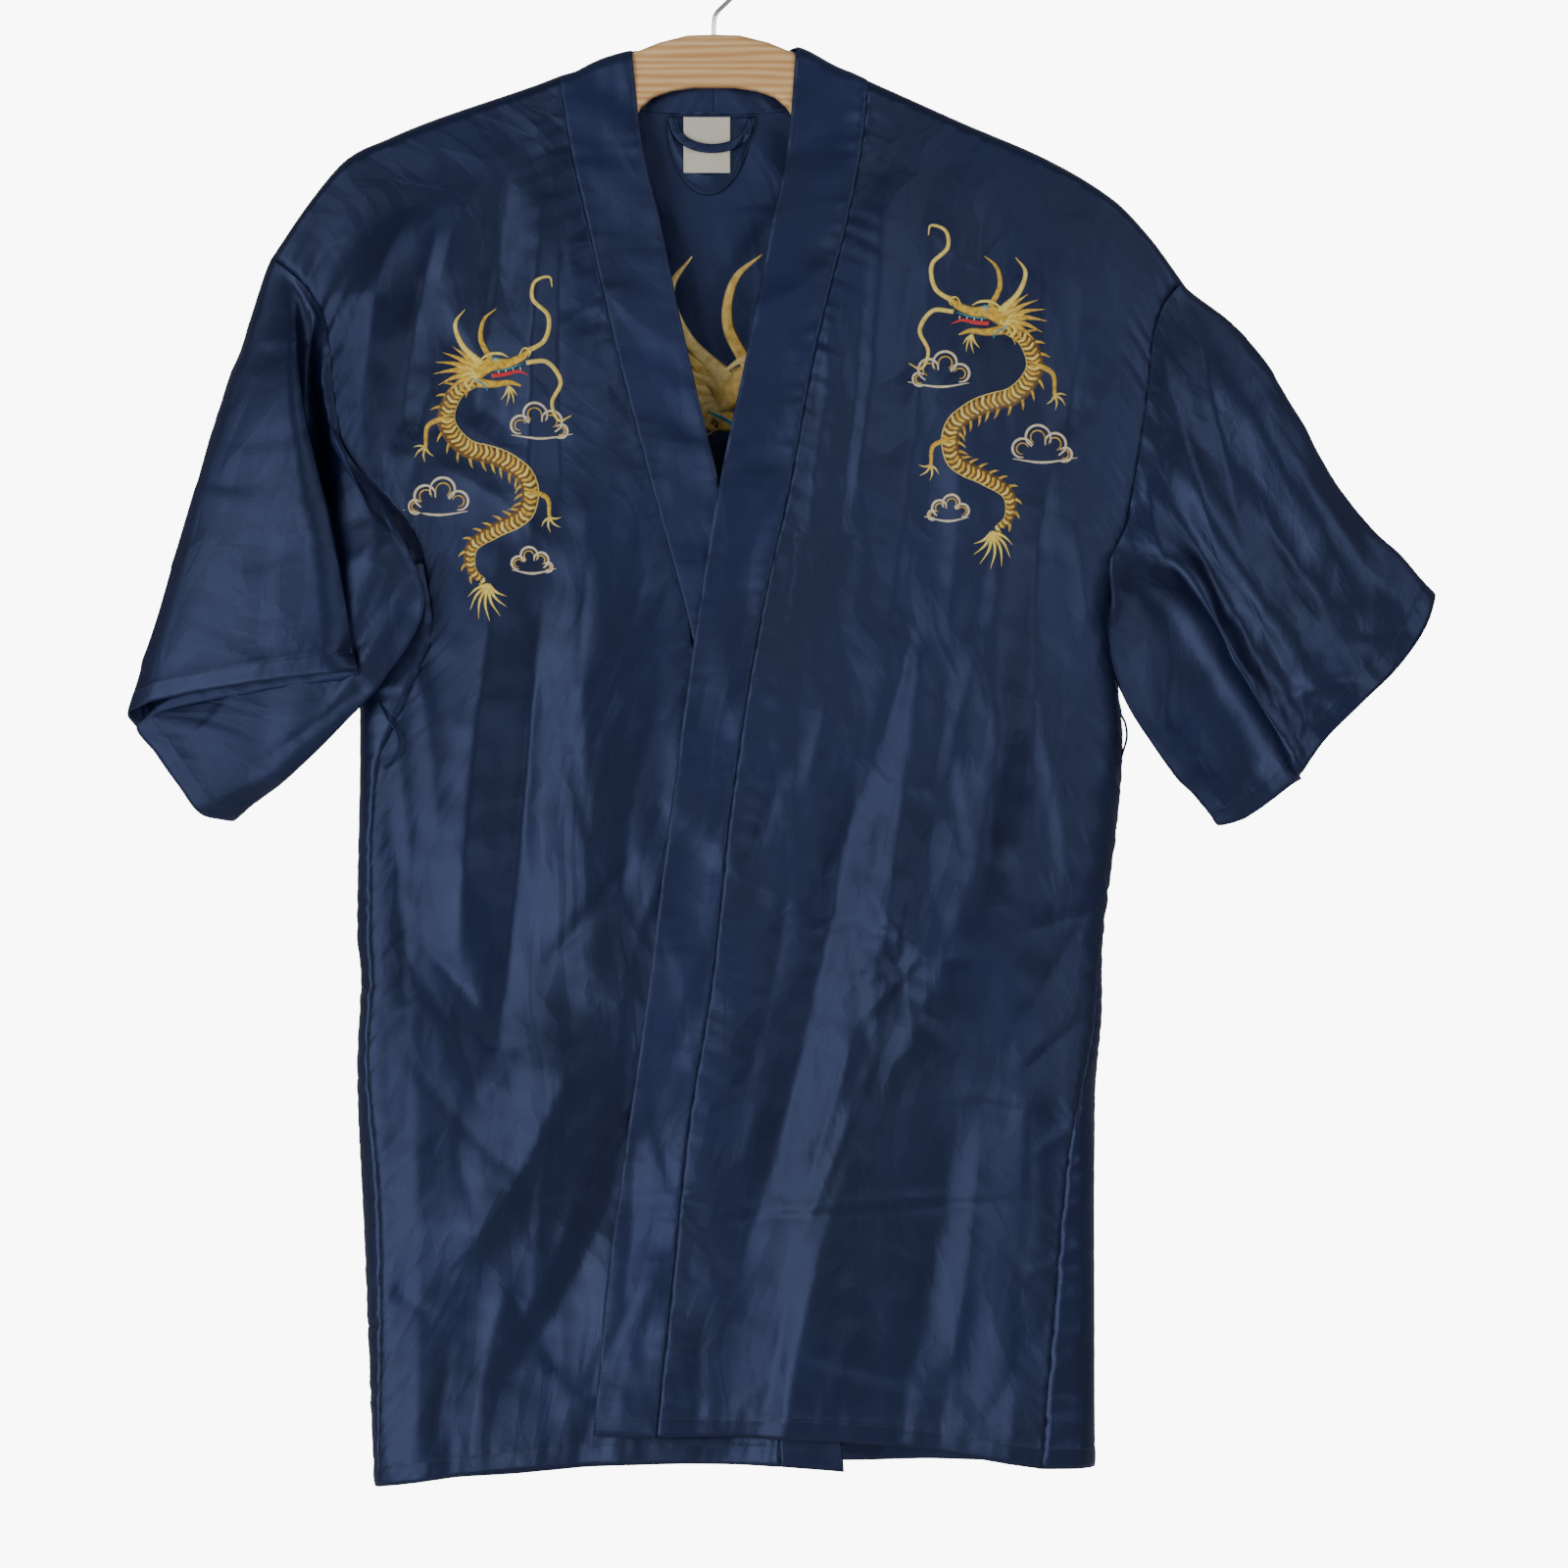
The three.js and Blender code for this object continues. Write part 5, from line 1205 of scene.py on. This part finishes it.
# The embroidery is this object's own drawing of a traditional dragon among clouds. It is drawn
# in its own millimetres, x to the right and y down from the top, as satin-stitched strokes: each
# a crowned strip along a smooth line, tapering as its widths say.
class Embroidery:
    def __init__(self, reach):
        self.reach = reach
        self.strokes = []

    def stroke(self, points, widths, thread, lift=0.0, thick=0.6):
        points = np.asarray(points, float)
        length = np.sum(np.linalg.norm(np.diff(points, axis=0), axis=1))
        count = max(5, int(length / self.reach * FINE) + 2)
        share_of = np.linspace(0, 1, count)
        line = spline(points, share_of, False)
        half = np.interp(share_of, np.linspace(0, 1, len(widths)), widths) / 2
        self.strokes.append((line, np.maximum(half, 0.12), thread, lift, thick))

    def fan(self, centre, angles, lengths, width, thread, curl=0.3, lift=0.1):
        for angle, length in zip(np.radians(angles), lengths):
            tip = np.array([np.cos(angle), -np.sin(angle)])
            side = np.array([np.sin(angle), np.cos(angle)]) * curl * length
            at = np.asarray(centre, float)
            line = (at, at + tip * length * 0.5 + side * 0.45, at + tip * length + side * 0.2)
            self.stroke(line, (width, width * 0.8, 0.3), thread, lift)

    # A cloud: lobes drawn as curling outlines, with a thinner second line inside.
    def cloud(self, x, y, size, turn):
        lobes = ((-0.9, 0.15, 0.5, 150), (-0.25, -0.35, 0.62, 110), (0.5, -0.1, 0.55, 60), (0.95, 0.35, 0.36, 10))
        for ox, oy, radius, heading in lobes:
            middle = np.array([x + turn * ox * size, y + oy * size])
            for share_in, width, thread in ((1.0, 2.5, "pale"), (0.58, 1.5, "gold")):
                a = np.radians(np.linspace(heading - 130, heading + 130, 8))
                shrink = np.linspace(1.0, 0.72, 8) * radius * size * share_in
                arc = middle + np.stack([turn * np.cos(a) * shrink, -np.sin(a) * shrink], axis=1)
                self.stroke(arc, (width * 0.6, width, width, width * 0.5), thread, 0.0, 0.5)
        foot = y + 0.62 * size
        base = ((x - turn * 1.3 * size, foot - 1), (x, foot + 2), (x + turn * 1.5 * size, foot - 2))
        self.stroke(base, (0.8, 2.6, 0.8), "pale")

    # A body of rings along its spine, given as x, y and width, with fins on its back.
    def body(self, spine):
        spine = np.asarray(spine, float)
        count = 400
        line = spline(spine[:, :2], np.linspace(0, 1, count), False)
        wide = np.interp(np.linspace(0, 1, count), np.linspace(0, 1, len(spine)), spine[:, 2])
        heading, across = directions(line)
        length = walked_along(line)
        self.stroke(line[::20], wide[::20] * 1.04, "brown", 0.0, 0.55)
        pitch = 4.6
        for k, at in enumerate(np.arange(2.0, length[-1] - 2, pitch)):
            i = int(np.interp(at, length, np.arange(count)))
            half, p, side, ahead = wide[i] / 2, line[i], across[i], heading[i]
            thread = "gold" if k % 2 else "light"
            low = p - side * half * 0.95
            high = p + side * half * 0.55
            widths = (pitch * 0.5, pitch * 0.82, pitch * 0.6)
            self.stroke((low, (low + high) / 2 + ahead * half * 0.35, high), widths, thread, 0.45, 0.4)
            if k % 2 == 0 and half > 2.2:
                root = p + side * half * 0.8
                tip = root + side * half * 0.95 + ahead * 5.5
                self.stroke((root, (root + tip) / 2 + side * 0.8, tip), (3.0, 2.2, 0.3), "gold", 0.2, 0.45)
        edge = line[::16] - across[::16] * wide[::16, None] * 0.5
        self.stroke(edge, (0.5, 1.1, 1.1, 0.5), "light", 0.3, 0.5)

    def leg(self, hip, knee, foot, spread):
        self.stroke((hip, knee, foot), (6.0, 4.2, 3.2), "gold", 0.25, 0.6)
        self.stroke((hip, knee, foot), (1.4, 1.0, 0.6), "brown", 0.8, 0.25)
        claws = [spread + d for d in (-66, -22, 22, 66)]
        self.fan(foot, claws, (10, 12.5, 12.5, 10), 2.4, "light", 0.35, 0.3)

    def eye(self, x, y, size):
        for radius, thread, lift in ((1.0, "teal", 0.5), (0.45, "pale", 0.75)):
            a = np.radians(np.linspace(0, 330, 8))
            ring = np.stack([x + radius * size * np.cos(a), y + radius * size * 0.8 * np.sin(a)], axis=1)
            self.stroke(ring, (1.5, 1.5), thread, lift, 0.5)
        self.stroke(((x - 0.5, y), (x + 0.7, y)), (1.3, 1.3), "ink", 0.95, 0.4)

    def head(self, x, y):
        mane = (118, 134, 150, 166, 182, 198, 214, 230, 246)
        self.fan((x - 12, y + 6), mane, (26, 31, 34, 36, 36, 33, 30, 26, 21), 5.6, "gold", 0.28, 0.0)
        inner_mane = (128, 148, 170, 192, 214, 236)
        self.fan((x - 9, y + 5), inner_mane, (17, 20, 22, 21, 19, 16), 4.0, "light", 0.28, 0.35)
        self.strokes_at(x, y, HEAD_STROKES)
        for k in range(4):
            tooth = (6 + 6 * k, 3.2 - 0.9 * k)
            line = (tooth, (tooth[0] + 0.6, tooth[1] + 3.6))
            self.strokes_at(x, y, ((line, (1.7, 0.4), "pale", 0.95, 0.4),))
        self.eye(x + 3, y - 5.5, 3.1)
        self.fan((x + 14, y + 16), (238, 262, 286, 310), (13, 16, 15, 11), 2.4, "light", -0.25, 0.2)
        self.strokes_at(x, y, WHISKERS)

    def strokes_at(self, x, y, rows):
        for line, widths, thread, lift, thick in rows:
            self.stroke([(x + a, y + b) for a, b in line], widths, thread, lift, thick)


# Two horns, snout, jaw, tongue, lip, brow, cheek and nostril: line, widths, thread, lift, thickness.
HEAD_STROKES = (
    (((-8, -3), (-24, -18), (-30, -36), (-22, -48)), (6.0, 5.0, 3.6, 0.6), "light", 0.3, 0.7),
    (((-1, -7), (-9, -24), (-6, -40), (4, -49)), (5.4, 4.6, 3.2, 0.6), "gold", 0.3, 0.7),
    (((-14, 4), (-2, -2), (14, -3), (27, -9), (33, -16)), (15.0, 13.0, 8.5, 6.5, 2.4), "gold", 0.3, 0.7),
    (((-12, 12), (2, 14), (16, 13), (25, 16)), (9.0, 6.5, 4.6, 1.6), "gold", 0.25, 0.7),
    (((0, 7), (12, 6), (22, 4), (31, 7)), (4.2, 3.8, 3.0, 0.8), "red", 0.5, 0.6),
    (((2, 3.2), (14, 1.6), (27, -2.5)), (1.0, 1.5, 0.8), "teal", 0.9, 0.5),
    (((-10, -6), (-2, -11), (8, -11), (14, -8)), (1.4, 3.2, 2.6, 0.8), "light", 0.9, 0.6),
    (((-16, 9), (-8, 13), (-3, 19)), (1.2, 2.0, 0.8), "teal", 0.9, 0.5),
    (((23, -9), (27, -15), (33, -13), (31, -8)), (1.0, 1.9, 1.7, 1.0), "light", 0.9, 0.5),
)
WHISKERS = (
    (
        ((30, -12), (44, -22), (47, -42), (34, -56), (36, -70), (48, -74), (50, -66)),
        (4.4, 4.2, 4.0, 3.8, 3.2, 2.4, 0.9), "light", 0.4, 0.6,
    ),
    (
        ((29, -3), (46, -4), (57, 12), (50, 30), (56, 44), (66, 40)),
        (4.2, 4.2, 4.0, 3.4, 2.6, 0.9), "light", 0.4, 0.6,
    ),
)
SPINE = (
    (-8, 84, 10), (-28, 96, 13), (-36, 120, 15), (-20, 142, 15.5), (10, 152, 15.5), (32, 170, 15),
    (30, 196, 14), (6, 210, 12.5), (-14, 224, 10.5), (-14, 244, 8), (0, 256, 5),
)


def dragon(reach):
    art = Embroidery(reach)
    art.cloud(42, 122, 18, 1)
    art.cloud(-42, 184, 19, -1)
    art.cloud(36, 236, 13, 1)
    art.leg((-32, 116), (-50, 124), (-52, 142), 250)
    art.leg((30, 178), (48, 184), (50, 200), 300)
    art.body(SPINE)
    tail = (215, 238, 258, 276, 294, 312, 330)
    art.fan((0, 255), tail, (20, 26, 30, 31, 28, 24, 18), 3.2, "light", 0.3, 0.2)
    art.head(2, 76)
    return art


def face_outwards(mesh):
    built = bmesh.new()
    built.from_mesh(mesh)
    bmesh.ops.recalc_face_normals(built, faces=built.faces[:])
    built.to_mesh(mesh)
    built.free()


# The strokes laid on a cloth, in six lines of points round each strip. Place gives a point of the
# cloth's face, raised off it.
def sew(art, name, place, threads, keep=None):
    shares = np.array((-1.0, -0.6, 0.0, 0.6, 1.0, 0.0))
    order = list(threads)
    vertices, faces, uv, which = [], [], [], []
    count = 0
    for number, (line, half, thread, lift, thick) in enumerate(art.strokes):
        if keep is not None and not keep(line):
            continue
        across = directions(line)[1]
        flat = line[:, None] + across[:, None] * half[:, None, None] * shares[None, :, None]
        full = np.minimum(1, half / 0.8)[:, None]
        crown = np.sqrt(np.maximum(0, 1 - shares ** 2))[None, :]
        up = (lift + thick * crown) * full
        up[:, [0, 4]] = -0.1
        up[:, 5] = -0.25
        ring = place(flat[..., 0], flat[..., 1], up)
        rows = len(line)
        vertices.append(ring.reshape(-1, 3))
        i, j = np.meshgrid(np.arange(rows - 1), np.arange(6), indexing="ij")
        a, b = i * 6 + j, i * 6 + (j + 1) % 6
        end = (rows - 1) * 6
        caps = [(0, 1, 2, 3), (0, 3, 4, 5), (end + 3, end + 2, end + 1, end), (end + 5, end + 4, end + 3, end)]
        block = np.concatenate([quads(a, a + 6, b + 6, b), caps]) + count
        faces.append(block)
        along = walked_along(line)
        u = shares[None, :] * half[:, None] + 0 * along[:, None] + 7.0 * number
        uv.append(np.stack([u, along[:, None] + 0 * u], axis=-1).reshape(-1, 2) * MM)
        which.append(np.full(len(block), order.index(thread)))
        count += rows * 6
    vertices, faces, uv, which = (np.concatenate(part) for part in (vertices, faces, uv, which))
    piece = make_mesh(name, vertices * MM, faces, [threads[t] for t in order], uv, which)
    face_outwards(piece.data)
    return piece


# Rayon thread: bright along each laid stitch, with a fine rib for every thread.
def thread_finish(name, dark, bright, roughness=0.34):
    f = Finish(name)
    s = f.shader
    place = f.node("UVMap", uv_map="cloth")
    tone = f.node("TexNoise", Scale=260.0, Detail=3.0)
    f.join(place, "UV", tone, "Vector")
    f.link(f.ramp(tone.outputs["Fac"], (0.3, dark), (0.66, bright)), s.inputs["Base Color"])
    ribs = f.node("TexWave", wave_type="BANDS", bands_direction="Y", Scale=640.0, Distortion=1.2, Detail=1.0)
    f.join(place, "UV", ribs, "Vector")
    relief = f.node("Bump", Strength=0.5, Distance=0.00035)
    f.join(ribs, "Fac", relief, "Height")
    f.join(relief, "Normal", s, "Normal")
    f.set({"Roughness": roughness, "Anisotropic": 0.5, "Sheen Weight": 0.3, "Specular IOR Level": 0.65})
    return f.material


THREADS = {
    name: thread_finish(finish, srgb(*dark), srgb(*bright))
    for name, finish, dark, bright in (
        ("gold", "gold_thread", (178, 130, 14), (246, 202, 50)),
        ("light", "light_gold_thread", (236, 194, 62), (255, 238, 124)),
        ("brown", "brown_gold_thread", (76, 50, 8), (128, 86, 22)),
        ("pale", "pale_cloud_thread", (214, 196, 160), (244, 230, 200)),
        ("teal", "teal_thread", (0, 128, 160), (0, 172, 204)),
        ("red", "red_thread", (196, 8, 28), (232, 22, 46)),
        ("ink", "dark_thread", (14, 16, 24), (24, 28, 40)),
    )
}
REVERSE_THREADS = {
    name: thread_finish(name + "_thread_reverse", srgb(*dark), srgb(*bright), 0.5)
    for name, dark, bright in (
        ("gold", (186, 144, 52), (238, 202, 104)), ("light", (214, 180, 96), (250, 226, 150)),
        ("brown", (110, 84, 40), (150, 120, 66)), ("pale", (205, 192, 160), (236, 224, 196)),
        ("teal", (0, 124, 156), (8, 160, 188)), ("red", (170, 30, 42), (200, 48, 60)),
        ("ink", (30, 34, 48), (44, 50, 66)),
    )
}

# Where the drawing lies: its own x and y turned to the cloth's, and raised off the face that
# looks forwards (-1) or backwards (1).
FACE = 0.45
FRONT_ART_SIZE = 0.93
BACK_ART_SIZE = 2.1
BACK_ART_X, BACK_ART_TOP = 25.0, 170.0


def laid_on(depth_at, x, top, size, turn, looks):
    def place(a, b, up):
        px, down = x + turn * size * a, top + size * b
        return point(px, depth_at(px, down) + looks * (FACE + up), down)
    return place


def shows_in_neck(line):
    px = BACK_ART_X + BACK_ART_SIZE * line[:, 0]
    down = BACK_ART_TOP + BACK_ART_SIZE * line[:, 1]
    return bool(np.any((np.abs(px) < 62) & (down > 175) & (down < 425)))


FRONT_ART = dragon(2.4)
BACK_ART = dragon(2.2)
for art, name, depth_at, x, top, size, turn, looks, threads, keep in (
    (FRONT_ART, "dragon_front_left", over_y, 213.0, 206.0, FRONT_ART_SIZE, -1, -1, THREADS, None),
    (FRONT_ART, "dragon_front_right", under_y, -172.0, 246.0, FRONT_ART_SIZE, 1, -1, THREADS, None),
    (BACK_ART, "dragon_back", back_y, BACK_ART_X, BACK_ART_TOP, BACK_ART_SIZE, 1, 1, THREADS, None),
    (BACK_ART, "dragon_back_reverse", back_y, BACK_ART_X, BACK_ART_TOP, BACK_ART_SIZE, 1, -1,
     REVERSE_THREADS, shows_in_neck),
):
    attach(sew(art, name, laid_on(depth_at, x, top, size, turn, looks), threads, keep), "root")


# A cord of twisted strands along a smooth line.
CORD_THICK = 2.1
STRANDS = 3
CORD_TWIST = 1.5
STRAND_RADIUS = CORD_THICK * 0.27
STRAND_OFF = CORD_THICK * 0.26


def twisted_cord(name, points, material, sides=8, count=90):
    path = spline(np.asarray(points, float), np.linspace(0, 1, count), False)
    tangent = np.gradient(path, axis=0)
    tangent /= np.linalg.norm(tangent, axis=1, keepdims=True)
    across = np.zeros_like(path)
    across[0] = np.cross(tangent[0], (0.3, 1.0, 0.1))
    for k in range(len(path)):
        a = across[k - 1] if k else across[0]
        a = a - tangent[k] * np.dot(a, tangent[k])
        across[k] = a / np.linalg.norm(a)
    up = np.cross(tangent, across)
    angle = np.arange(sides) * 2 * np.pi / sides
    length = walked_along(path)
    vertices, faces, uv = [], [], []
    for strand in range(STRANDS):
        lead = (strand * 2 * np.pi / STRANDS + CORD_TWIST * length)[:, None]
        middle = path + STRAND_OFF * (across * np.cos(lead) + up * np.sin(lead))
        round_it = angle[None, :, None]
        outwards = across[:, None] * np.cos(round_it) + up[:, None] * np.sin(round_it)
        ring = middle[:, None] + STRAND_RADIUS * outwards
        first = len(vertices)
        vertices.extend(ring.reshape(-1, 3))
        uv.extend(np.stack([np.tile(angle * STRAND_RADIUS, count), np.repeat(length, sides)], axis=1) * MM)
        i, j = np.meshgrid(np.arange(count - 1), np.arange(sides), indexing="ij")
        a, b = i * sides + j, i * sides + (j + 1) % sides
        faces.append(quads(a, b, b + sides, a + sides) + first)
        for end, order in ((0, -1), (count - 1, 1)):
            vertices.append(middle[end] + tangent[end] * order * 0.02)
            uv.append((0, length[end] * MM))
            hub = len(vertices) - 1
            j = np.arange(sides)
            p, q = first + end * sides + j, first + end * sides + (j + 1) % sides
            fan = np.stack([p, q, np.full(sides, hub), np.full(sides, hub)], axis=-1)
            faces.append(fan if order > 0 else fan[:, [1, 0, 2, 3]])
    # Where a face's last corner repeats, the face is a triangle.
    corners = [tuple(q[:3]) if q[2] == q[3] else tuple(q) for q in np.concatenate(faces).tolist()]
    mesh = bpy.data.meshes.new(name)
    mesh.from_pydata([tuple(v) for v in np.array(vertices) * MM], [], corners)
    mesh.materials.append(material)
    layer = mesh.uv_layers.new(name="cloth")
    used = np.array([loop.vertex_index for loop in mesh.loops])
    layer.data.foreach_set("uv", np.array(uv)[used].astype(np.float32).ravel())
    mesh.polygons.foreach_set("use_smooth", np.full(len(mesh.polygons), True))
    face_outwards(mesh)
    return add_object(name, mesh)


# Belt loops, by x, down and how far they stand off the cloth.
BELT_LOOP_LEFT = (
    (309, 573, 1.4), (311.5, 581, 6), (316, 590, 9), (317, 600, 10), (314, 612, 7), (311, 622, 1.4),
)
BELT_LOOP_RIGHT = (
    (-257, 573, 1.4), (-249, 586, 5), (-241, 598, 7), (-240, 608, 7), (-246, 618, 4), (-252, 624, 1.4),
)
loop_thread = satin("belt_loop_thread", srgb(15, 23, 50), srgb(24, 34, 70), 0.55, SATIN_TWILL)
for node, depth_at, rows in (
    ("belt_loop_left", over_y, BELT_LOOP_LEFT), ("belt_loop_right", under_y, BELT_LOOP_RIGHT),
):
    at = [(x, float(depth_at(np.float64(x), np.float64(down))) - 0.3 - out, -down) for x, down, out in rows]
    root_piece(twisted_cord("thread_" + node, at, loop_thread), node)


# Wood and wire of the hanger keep the solids' shapes.
def wood_finish():
    f = Finish("pale_beech")
    s = f.shader
    place = f.node("TexCoord")
    turned = f.node("Mapping", vector_type="POINT")
    turned.inputs["Scale"].default_value = (1.0, 5.0, 9.0)
    f.join(place, "Object", turned, "Vector")
    grain = f.node("TexNoise", Scale=14.0, Detail=6.0, Roughness=0.6, Distortion=0.6)
    f.join(turned, "Vector", grain, "Vector")
    rings = f.node("TexWave", wave_type="BANDS", bands_direction="Z", Scale=6.0, Distortion=5.0, Detail=2.0)
    f.join(turned, "Vector", rings, "Vector")
    fibres = f.maths("MULTIPLY", grain.outputs["Fac"], 0.6)
    mixed = f.maths("ADD", fibres, f.maths("MULTIPLY", rings.outputs["Fac"], 0.4))
    tone = f.ramp(mixed, (0.25, srgb(205, 150, 92)), (0.5, srgb(226, 178, 118)), (0.8, srgb(238, 200, 148)))
    f.link(tone, s.inputs["Base Color"])
    f.set({"Roughness": 0.4, "Coat Weight": 0.25})
    relief = f.node("Bump", Strength=0.15, Distance=0.0008)
    f.link(mixed, relief.inputs["Height"])
    f.join(relief, "Normal", s, "Normal")
    return f.material


def chrome_finish():
    f = Finish("bright_hook_wire")
    place = f.node("TexCoord")
    scuff = f.node("TexNoise", Scale=900.0, Detail=3.0)
    f.join(place, "Object", scuff, "Vector")
    rough = f.maths("ADD", f.maths("MULTIPLY", scuff.outputs["Fac"], 0.15), 0.16)
    f.link(rough, f.shader.inputs["Roughness"])
    f.set({"Base Color": (0.72, 0.73, 0.75, 1), "Metallic": 1.0})
    return f.material


for node, finish in (("hanger_wood", wood_finish()), ("hanger_hook", chrome_finish())):
    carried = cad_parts[node]
    for slot_place in carried.material_slots:
        slot_place.material = finish

# Floor and light.
FLOOR_RADIUS = 2.4
FLOOR_AT = -1.75
FLOOR_SIDES = 96
floor_mesh = bpy.data.meshes.new("pale_floor")
turns = np.linspace(0, 2 * math.pi, FLOOR_SIDES + 1)[:-1]
ring = [(FLOOR_RADIUS * math.cos(a), FLOOR_RADIUS * math.sin(a), FLOOR_AT) for a in turns]
floor_mesh.from_pydata(ring, [], [tuple(range(FLOOR_SIDES))])
floor_tone = Finish("pale_floor")
speckle = floor_tone.node("TexNoise", Scale=6.0, Detail=3.0)
pale = floor_tone.ramp(speckle.outputs["Fac"], (0.3, (0.80, 0.80, 0.80)), (0.7, (0.84, 0.84, 0.84)))
floor_tone.link(pale, floor_tone.shader.inputs["Base Color"])
floor_tone.set({"Roughness": 0.7})
floor_mesh.materials.append(floor_tone.material)
add_object("pale_floor", floor_mesh)

# The room is dim all round, and the camera sees a bright backdrop.
ROOM_LIGHT = 0.3
BACKDROP = 9.0
world = bpy.data.worlds.new("studio")
bpy.context.scene.world = world
world.use_nodes = True
studio = world.node_tree
room = studio.nodes["Background"]
backdrop = studio.nodes.new("ShaderNodeBackground")
for background, strength in ((room, ROOM_LIGHT), (backdrop, BACKDROP)):
    background.inputs["Color"].default_value = (1.0, 1.0, 1.0, 1.0)
    background.inputs["Strength"].default_value = strength
ray = studio.nodes.new("ShaderNodeLightPath")
both = studio.nodes.new("ShaderNodeMixShader")
for output, socket in (
    (ray.outputs["Is Camera Ray"], both.inputs[0]), (room.outputs[0], both.inputs[1]),
    (backdrop.outputs[0], both.inputs[2]), (both.outputs[0], studio.nodes["World Output"].inputs["Surface"]),
):
    studio.links.new(output, socket)

for name, place, aim, size, power in (
    ("window_left", (-1.9, -2.3, -0.45), (0.0, 0.0, -0.75), (1.7, 2.0), 34.0),
    ("low_bounce", (-1.1, -1.7, -1.5), (-0.1, 0.0, -0.95), (0.9, 0.7), 10.0),
    ("window_right", (2.0, -2.2, 0.3), (0.0, 0.0, -0.5), (1.4, 1.8), 20.0),
    ("back_fill", (0.0, 2.6, 0.4), (0.0, 0.0, -0.6), (2.2, 2.2), 40.0),
):
    lamp = bpy.data.lights.new(name, "AREA")
    lamp.shape = "RECTANGLE"
    lamp.size, lamp.size_y = size
    lamp.energy = power
    light = add_object(name, lamp)
    light.location = place
    light.rotation_euler = (Vector(aim) - Vector(place)).to_track_quat("-Z", "Y").to_euler()
